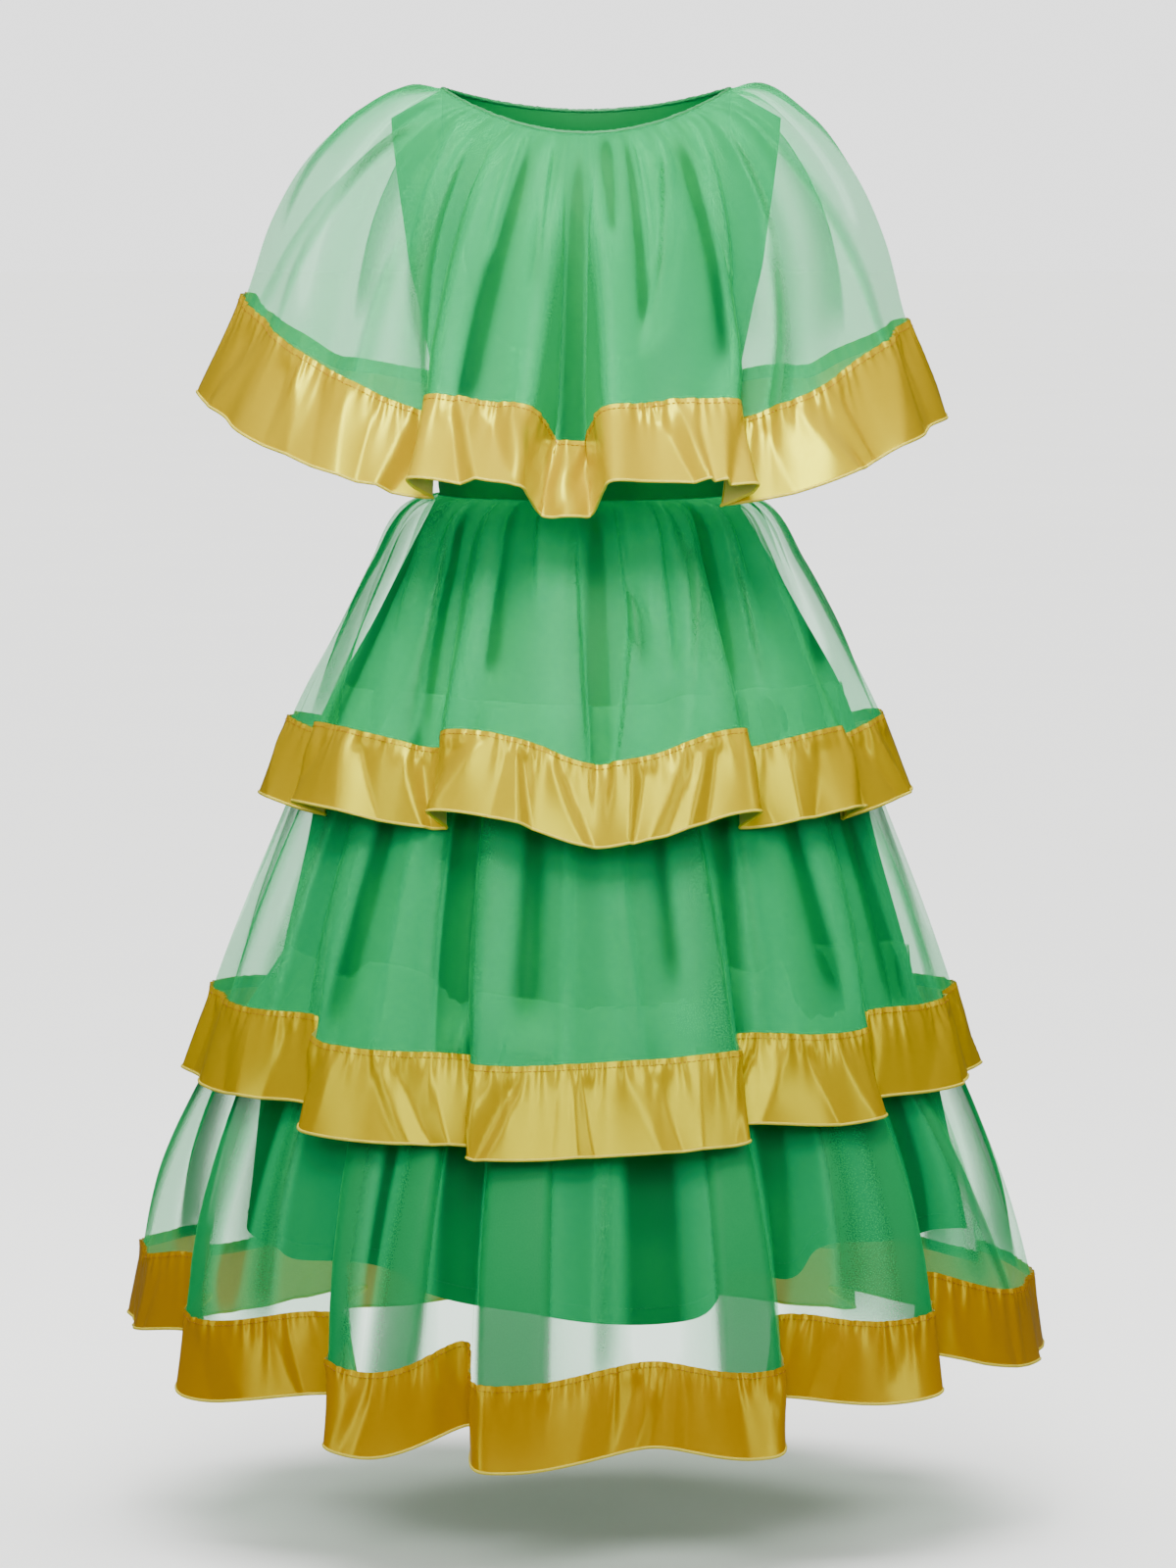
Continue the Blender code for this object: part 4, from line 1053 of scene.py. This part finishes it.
def underskirt(finishes):
    """The opaque satin skirt, with the line of sewing above its hem."""
    rows = np.linspace(0, 1, UNDERSKIRT_ROWS)
    points, _ = cloth_rows(UNDERSKIRT, UNDERSKIRT_COLUMNS, rows)
    normals = grid_normals(points)
    skirt = shell("underskirt_satin", points, points - normals * SATIN_THICK, [finishes["lining"]])
    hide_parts("underskirt")
    hem_line = stitches("underskirt_hem_sewing", points[-2], normals[-2], finishes["green thread"])


def linear(code):
    """An sRGB hex colour as linear red, green, blue and alpha."""
    parts = np.array([int(code[i : i + 2], 16) / 255 for i in (1, 3, 5)])
    parts = np.where(parts <= 0.04045, parts / 12.92, ((parts + 0.055) / 1.055) ** 2.4)
    return (*parts.tolist(), 1.0)


def node(tree, kind, inputs=(), **settings):
    """Adds a node with its settings, and sets or links its inputs."""
    new = tree.nodes.new(kind)
    for name, value in settings.items():
        setattr(new, name, value)
    for socket, value in dict(inputs).items():
        if isinstance(value, bpy.types.NodeSocket):
            tree.links.new(value, new.inputs[socket])
        else:
            new.inputs[socket].default_value = value
    return new


def finish(name, make):
    """A material whose nodes are added by make(tree), which gives its surface socket."""
    material = bpy.data.materials.new(name)
    material.use_nodes = True
    tree = material.node_tree
    tree.nodes.clear()
    node(tree, "ShaderNodeOutputMaterial", {"Surface": make(tree)})
    return material


def organza(tree):
    """Sheer plain-woven nylon: pale, crisp, with a fine sparkle, denser where it slants, its green
    darkened as painted shade where many layers are seen.
    """
    place = node(tree, "ShaderNodeUVMap", uv_map=CLOTH_UV).outputs["UV"]
    weave = {"Vector": place, "Scale": WEAVE, "Detail": 1.0}
    grain = node(tree, "ShaderNodeTexNoise", weave).outputs["Fac"]
    dye = {"Vector": place, "Scale": ORGANZA_CLOUD}
    cloud = node(tree, "ShaderNodeTexNoise", dye).outputs["Fac"]
    limits = {**NOISE_SPAN, "To Min": LEAST_CLEAR, "To Max": MOST_CLEAR}
    clear = node(tree, "ShaderNodeMapRange", {"Value": grain, **limits}).outputs["Result"]
    layers = node(tree, "ShaderNodeAttribute", attribute_name=DENSITY).outputs["Fac"]
    through = node(tree, "ShaderNodeMath", {0: clear, 1: layers}, operation="POWER").outputs[0]
    bump = node(tree, "ShaderNodeBump", {"Height": grain, "Strength": 0.06, "Distance": 0.0004})
    greens = {"Factor": cloud, "A": linear("#00e686"), "B": linear("#00f292")}
    single = node(tree, "ShaderNodeMix", greens, data_type="RGBA").outputs["Result"]
    # painted shade: the more layers are seen, the closer the threads' green comes to the dark
    # #00a455
    depth = node(tree, "ShaderNodeMapRange", {"Value": layers, **PAINTED_SHADE_LAYERS}).outputs["Result"]
    painted_shade_greens = {"Factor": depth, "A": single, "B": linear("#00a455")}
    threads = node(
        tree,
        "ShaderNodeBsdfPrincipled",
        {
            "Base Color": node(tree, "ShaderNodeMix", painted_shade_greens, data_type="RGBA").outputs["Result"],
            "Roughness": 0.5,
            "Specular IOR Level": 0.2,
            "Sheen Weight": 0.5,
            "Sheen Roughness": 0.45,
            "Sheen Tint": linear("#1dff86"),
            "Normal": bump.outputs["Normal"],
        },
    )
    gaps = node(tree, "ShaderNodeBsdfTransparent", {"Color": linear(SEEN_THROUGH)})
    parts = {0: through, 1: threads.outputs["BSDF"], 2: gaps.outputs["BSDF"]}
    return node(tree, "ShaderNodeMixShader", parts).outputs["Shader"]


def satin_floats(tree, place, stretch, strength):
    """The long floats of satin's yarn, as a value and as the relief that they give."""
    along = node(tree, "ShaderNodeMapping", {"Vector": place, "Scale": stretch})
    floats = {"Vector": along.outputs["Vector"], "Scale": FLOATS, "Detail": 1.0}
    yarn = node(tree, "ShaderNodeTexNoise", floats).outputs["Fac"]
    height = {"Height": yarn, "Strength": strength, "Distance": 0.0003}
    return yarn, node(tree, "ShaderNodeBump", height).outputs["Normal"]


def lining_satin(tree):
    """Green polyester satin: smooth and opaque, with a soft broad gloss."""
    place = node(tree, "ShaderNodeUVMap", uv_map=CLOTH_UV).outputs["UV"]
    dye = {"Vector": place, "Scale": LINING_CLOUD}
    cloud = node(tree, "ShaderNodeTexNoise", dye).outputs["Fac"]
    _, relief = satin_floats(tree, place, (0.25, 1.0, 1.0), 0.12)
    greens = {"Factor": cloud, "A": linear("#007c38"), "B": linear("#00883f")}
    shader = node(
        tree,
        "ShaderNodeBsdfPrincipled",
        {
            "Base Color": node(tree, "ShaderNodeMix", greens, data_type="RGBA").outputs["Result"],
            "Roughness": 0.48,
            "Specular IOR Level": 0.16,
            "Sheen Weight": 0.1,
            "Sheen Roughness": 0.35,
            "Sheen Tint": linear("#35ff8e"),
            "Normal": relief,
        },
    )
    return shader.outputs["BSDF"]


def gold_satin(tree):
    """Gold polyester satin ribbon: floats of bright yarn that flash where a facet catches light.

    The lowest ribbon is painted a warmer, darker gold than the others, as painted shade for the
    dimmer light there."""
    place = node(tree, "ShaderNodeUVMap", uv_map=CLOTH_UV).outputs["UV"]
    yarn, relief = satin_floats(tree, place, (1.0, 0.2, 1.0), 0.03)
    at = node(tree, "ShaderNodeTexCoord").outputs["Object"]
    height = node(tree, "ShaderNodeSeparateXYZ", {"Vector": at}).outputs["Z"]
    unshaded = node(tree, "ShaderNodeMapRange", {"Value": height, **PAINTED_SHADE_HEIGHTS}).outputs["Result"]
    # painted shade: #c28a00 is a darker, warmer gold for the lowest ribbon, where less light falls
    golds = {"Factor": unshaded, "A": linear("#c28a00"), "B": linear("#bf9c00")}
    limits = {**NOISE_SPAN, "To Min": 0.28, "To Max": 0.33}
    shader = node(
        tree,
        "ShaderNodeBsdfPrincipled",
        {
            "Base Color": node(tree, "ShaderNodeMix", golds, data_type="RGBA").outputs["Result"],
            "Roughness": node(tree, "ShaderNodeMapRange", {"Value": yarn, **limits}).outputs[0],
            "IOR": 2.5,  # polyester's own is 1.6, raised to match the ribbon's bright shine
            "Specular Tint": linear("#fbff20"),
            "Normal": relief,
        },
    )
    return shader.outputs["BSDF"]


def ribbon_reverse(tree):
    """The matt back of the ribbon: paler, with none of the face's bright floats."""
    place = node(tree, "ShaderNodeUVMap", uv_map=CLOTH_UV).outputs["UV"]
    coarse = {"Vector": place, "Scale": REVERSE_YARN}
    yarn = node(tree, "ShaderNodeTexNoise", coarse).outputs["Fac"]
    golds = {"Factor": yarn, "A": linear("#e2cf5a"), "B": linear("#ecdc70")}
    shader = node(
        tree,
        "ShaderNodeBsdfPrincipled",
        {
            "Base Color": node(tree, "ShaderNodeMix", golds, data_type="RGBA").outputs["Result"],
            "Roughness": 0.6,
            "Sheen Weight": 0.2,
        },
    )
    return shader.outputs["BSDF"]


def thread_finish(low, high):
    """Thread, or cloth rolled nearly as fine, in a colour: satiny, its twist as fine bands."""

    def make(tree):
        place = node(tree, "ShaderNodeTexCoord").outputs["Object"]
        turns = {"Vector": place, "Scale": TWIST}
        twist = node(tree, "ShaderNodeTexNoise", turns).outputs["Fac"]
        colours = {"Factor": twist, "A": linear(low), "B": linear(high)}
        colour = node(tree, "ShaderNodeMix", colours, data_type="RGBA").outputs["Result"]
        shader = node(
            tree, "ShaderNodeBsdfPrincipled", {"Base Color": colour, "Roughness": 0.45}
        )
        return shader.outputs["BSDF"]

    return make


def backdrop_paper(tree):
    """Matt white studio paper, very slightly mottled."""
    place = node(tree, "ShaderNodeTexCoord").outputs["Object"]
    mottle = node(tree, "ShaderNodeTexNoise", {"Vector": place, "Scale": PAPER_MOTTLE})
    whites = {"Factor": mottle.outputs["Fac"], "A": linear("#f4f4f2"), "B": linear("#f8f8f6")}
    colour = node(tree, "ShaderNodeMix", whites, data_type="RGBA").outputs["Result"]
    shader = node(tree, "ShaderNodeBsdfPrincipled", {"Base Color": colour, "Roughness": 0.9})
    return shader.outputs["BSDF"]


def aim_at(item, place, aim):
    """Sets a lamp or the camera in its place and turns it towards its aim."""
    item.location = place
    item.rotation_euler = (Vector(aim) - Vector(place)).to_track_quat("-Z", "Y").to_euler()


def lay_floor():
    """The pale paper under the dress, which neither lights it nor shows in its gloss."""
    bpy.ops.mesh.primitive_plane_add(size=FLOOR_SIZE, location=(0, 0, FLOOR_Z))
    floor = bpy.context.object
    floor.name = "floor"
    floor.data.materials.append(finish("matt backdrop paper", backdrop_paper))
    floor.visible_diffuse = floor.visible_glossy = False
    return floor


def hang_lamps(floor):
    """The soft lamps round the dress, and a wide light that falls on the floor alone."""
    for name, place, aim, width, height, spread, power in LIGHTS:
        data = bpy.data.lights.new(name, "AREA")
        data.shape = "RECTANGLE"
        data.size, data.size_y, data.energy = width, height, power
        data.spread = np.radians(spread)
        lamp = in_scene(name, data)
        aim_at(lamp, place, aim)
        lamp.visible_camera = False
    flood = bpy.data.lights.new("floor flood", "SUN")
    flood.energy, flood.angle = FLOOR_LIGHT, np.radians(FLOOR_LIGHT_ANGLE)
    for_floor = bpy.data.collections.new("lit by the flood")
    for_floor.objects.link(floor)
    in_scene("floor flood", flood).light_linking.receiver_collection = for_floor


def light_room():
    """The room's own light, dim below and bright above, and evenly bright to the camera."""
    world = bpy.data.worlds.new("studio")
    world.use_nodes = True
    tree = world.node_tree
    tree.nodes.clear()
    way = node(tree, "ShaderNodeTexCoord").outputs["Generated"]
    height = node(tree, "ShaderNodeSeparateXYZ", {"Vector": way}).outputs["Z"]
    lit = node(tree, "ShaderNodeMapRange", {"Value": height, **ROOM_LIGHT}).outputs["Result"]
    seen = node(tree, "ShaderNodeLightPath").outputs["Is Camera Ray"]
    strength = node(tree, "ShaderNodeMix", {"Factor": seen, "A": lit, "B": BACKDROP_LIGHT})
    glow = {"Strength": strength.outputs["Result"], "Color": linear("#ffffff")}
    light = node(tree, "ShaderNodeBackground", glow)
    node(tree, "ShaderNodeOutputWorld", {"Surface": light.outputs["Background"]})
    bpy.context.scene.world = world


def place_camera():
    """The camera at the photo's angle."""
    data = bpy.data.cameras.new("camera")
    data.sensor_fit, data.sensor_height, data.lens = "VERTICAL", SENSOR, CAMERA_LENS
    camera = in_scene("camera", data)
    aim_at(camera, CAMERA_AT, AIM)
    bpy.context.scene.camera = camera


def build_dress():
    """Every piece of the dress."""
    finishes = {
        "organza": finish("nylon organza", organza),
        "lining": finish("polyester satin lining", lining_satin),
        "ribbon": finish("gold satin ribbon", gold_satin),
        "reverse": finish("reverse of satin ribbon", ribbon_reverse),
        # painted highlight: the rolled edge is a bright lemon yellow like the ribbon's lit facets,
        # not the ribbon's own gold
        "rolled edge": finish("rolled ribbon edge with painted highlight", thread_finish("#e6d22a", "#f4e640")),
        "gold thread": finish("gold sewing thread", thread_finish("#a87000", "#c08600")),
        "green thread": finish("green sewing thread", thread_finish("#0c7a34", "#139144")),
        "binding": finish("rolled organza binding", thread_finish("#128341", "#24a058")),
    }
    bodice_panel("front", finishes)
    bodice_panel("back", finishes)
    underskirt(finishes)
    for name, tube in TUBES.items():
        organza_tube(name, tube, finishes)
        ribbon_band(name, tube, finishes)


build_dress()
hang_lamps(lay_floor())
light_room()
place_camera()
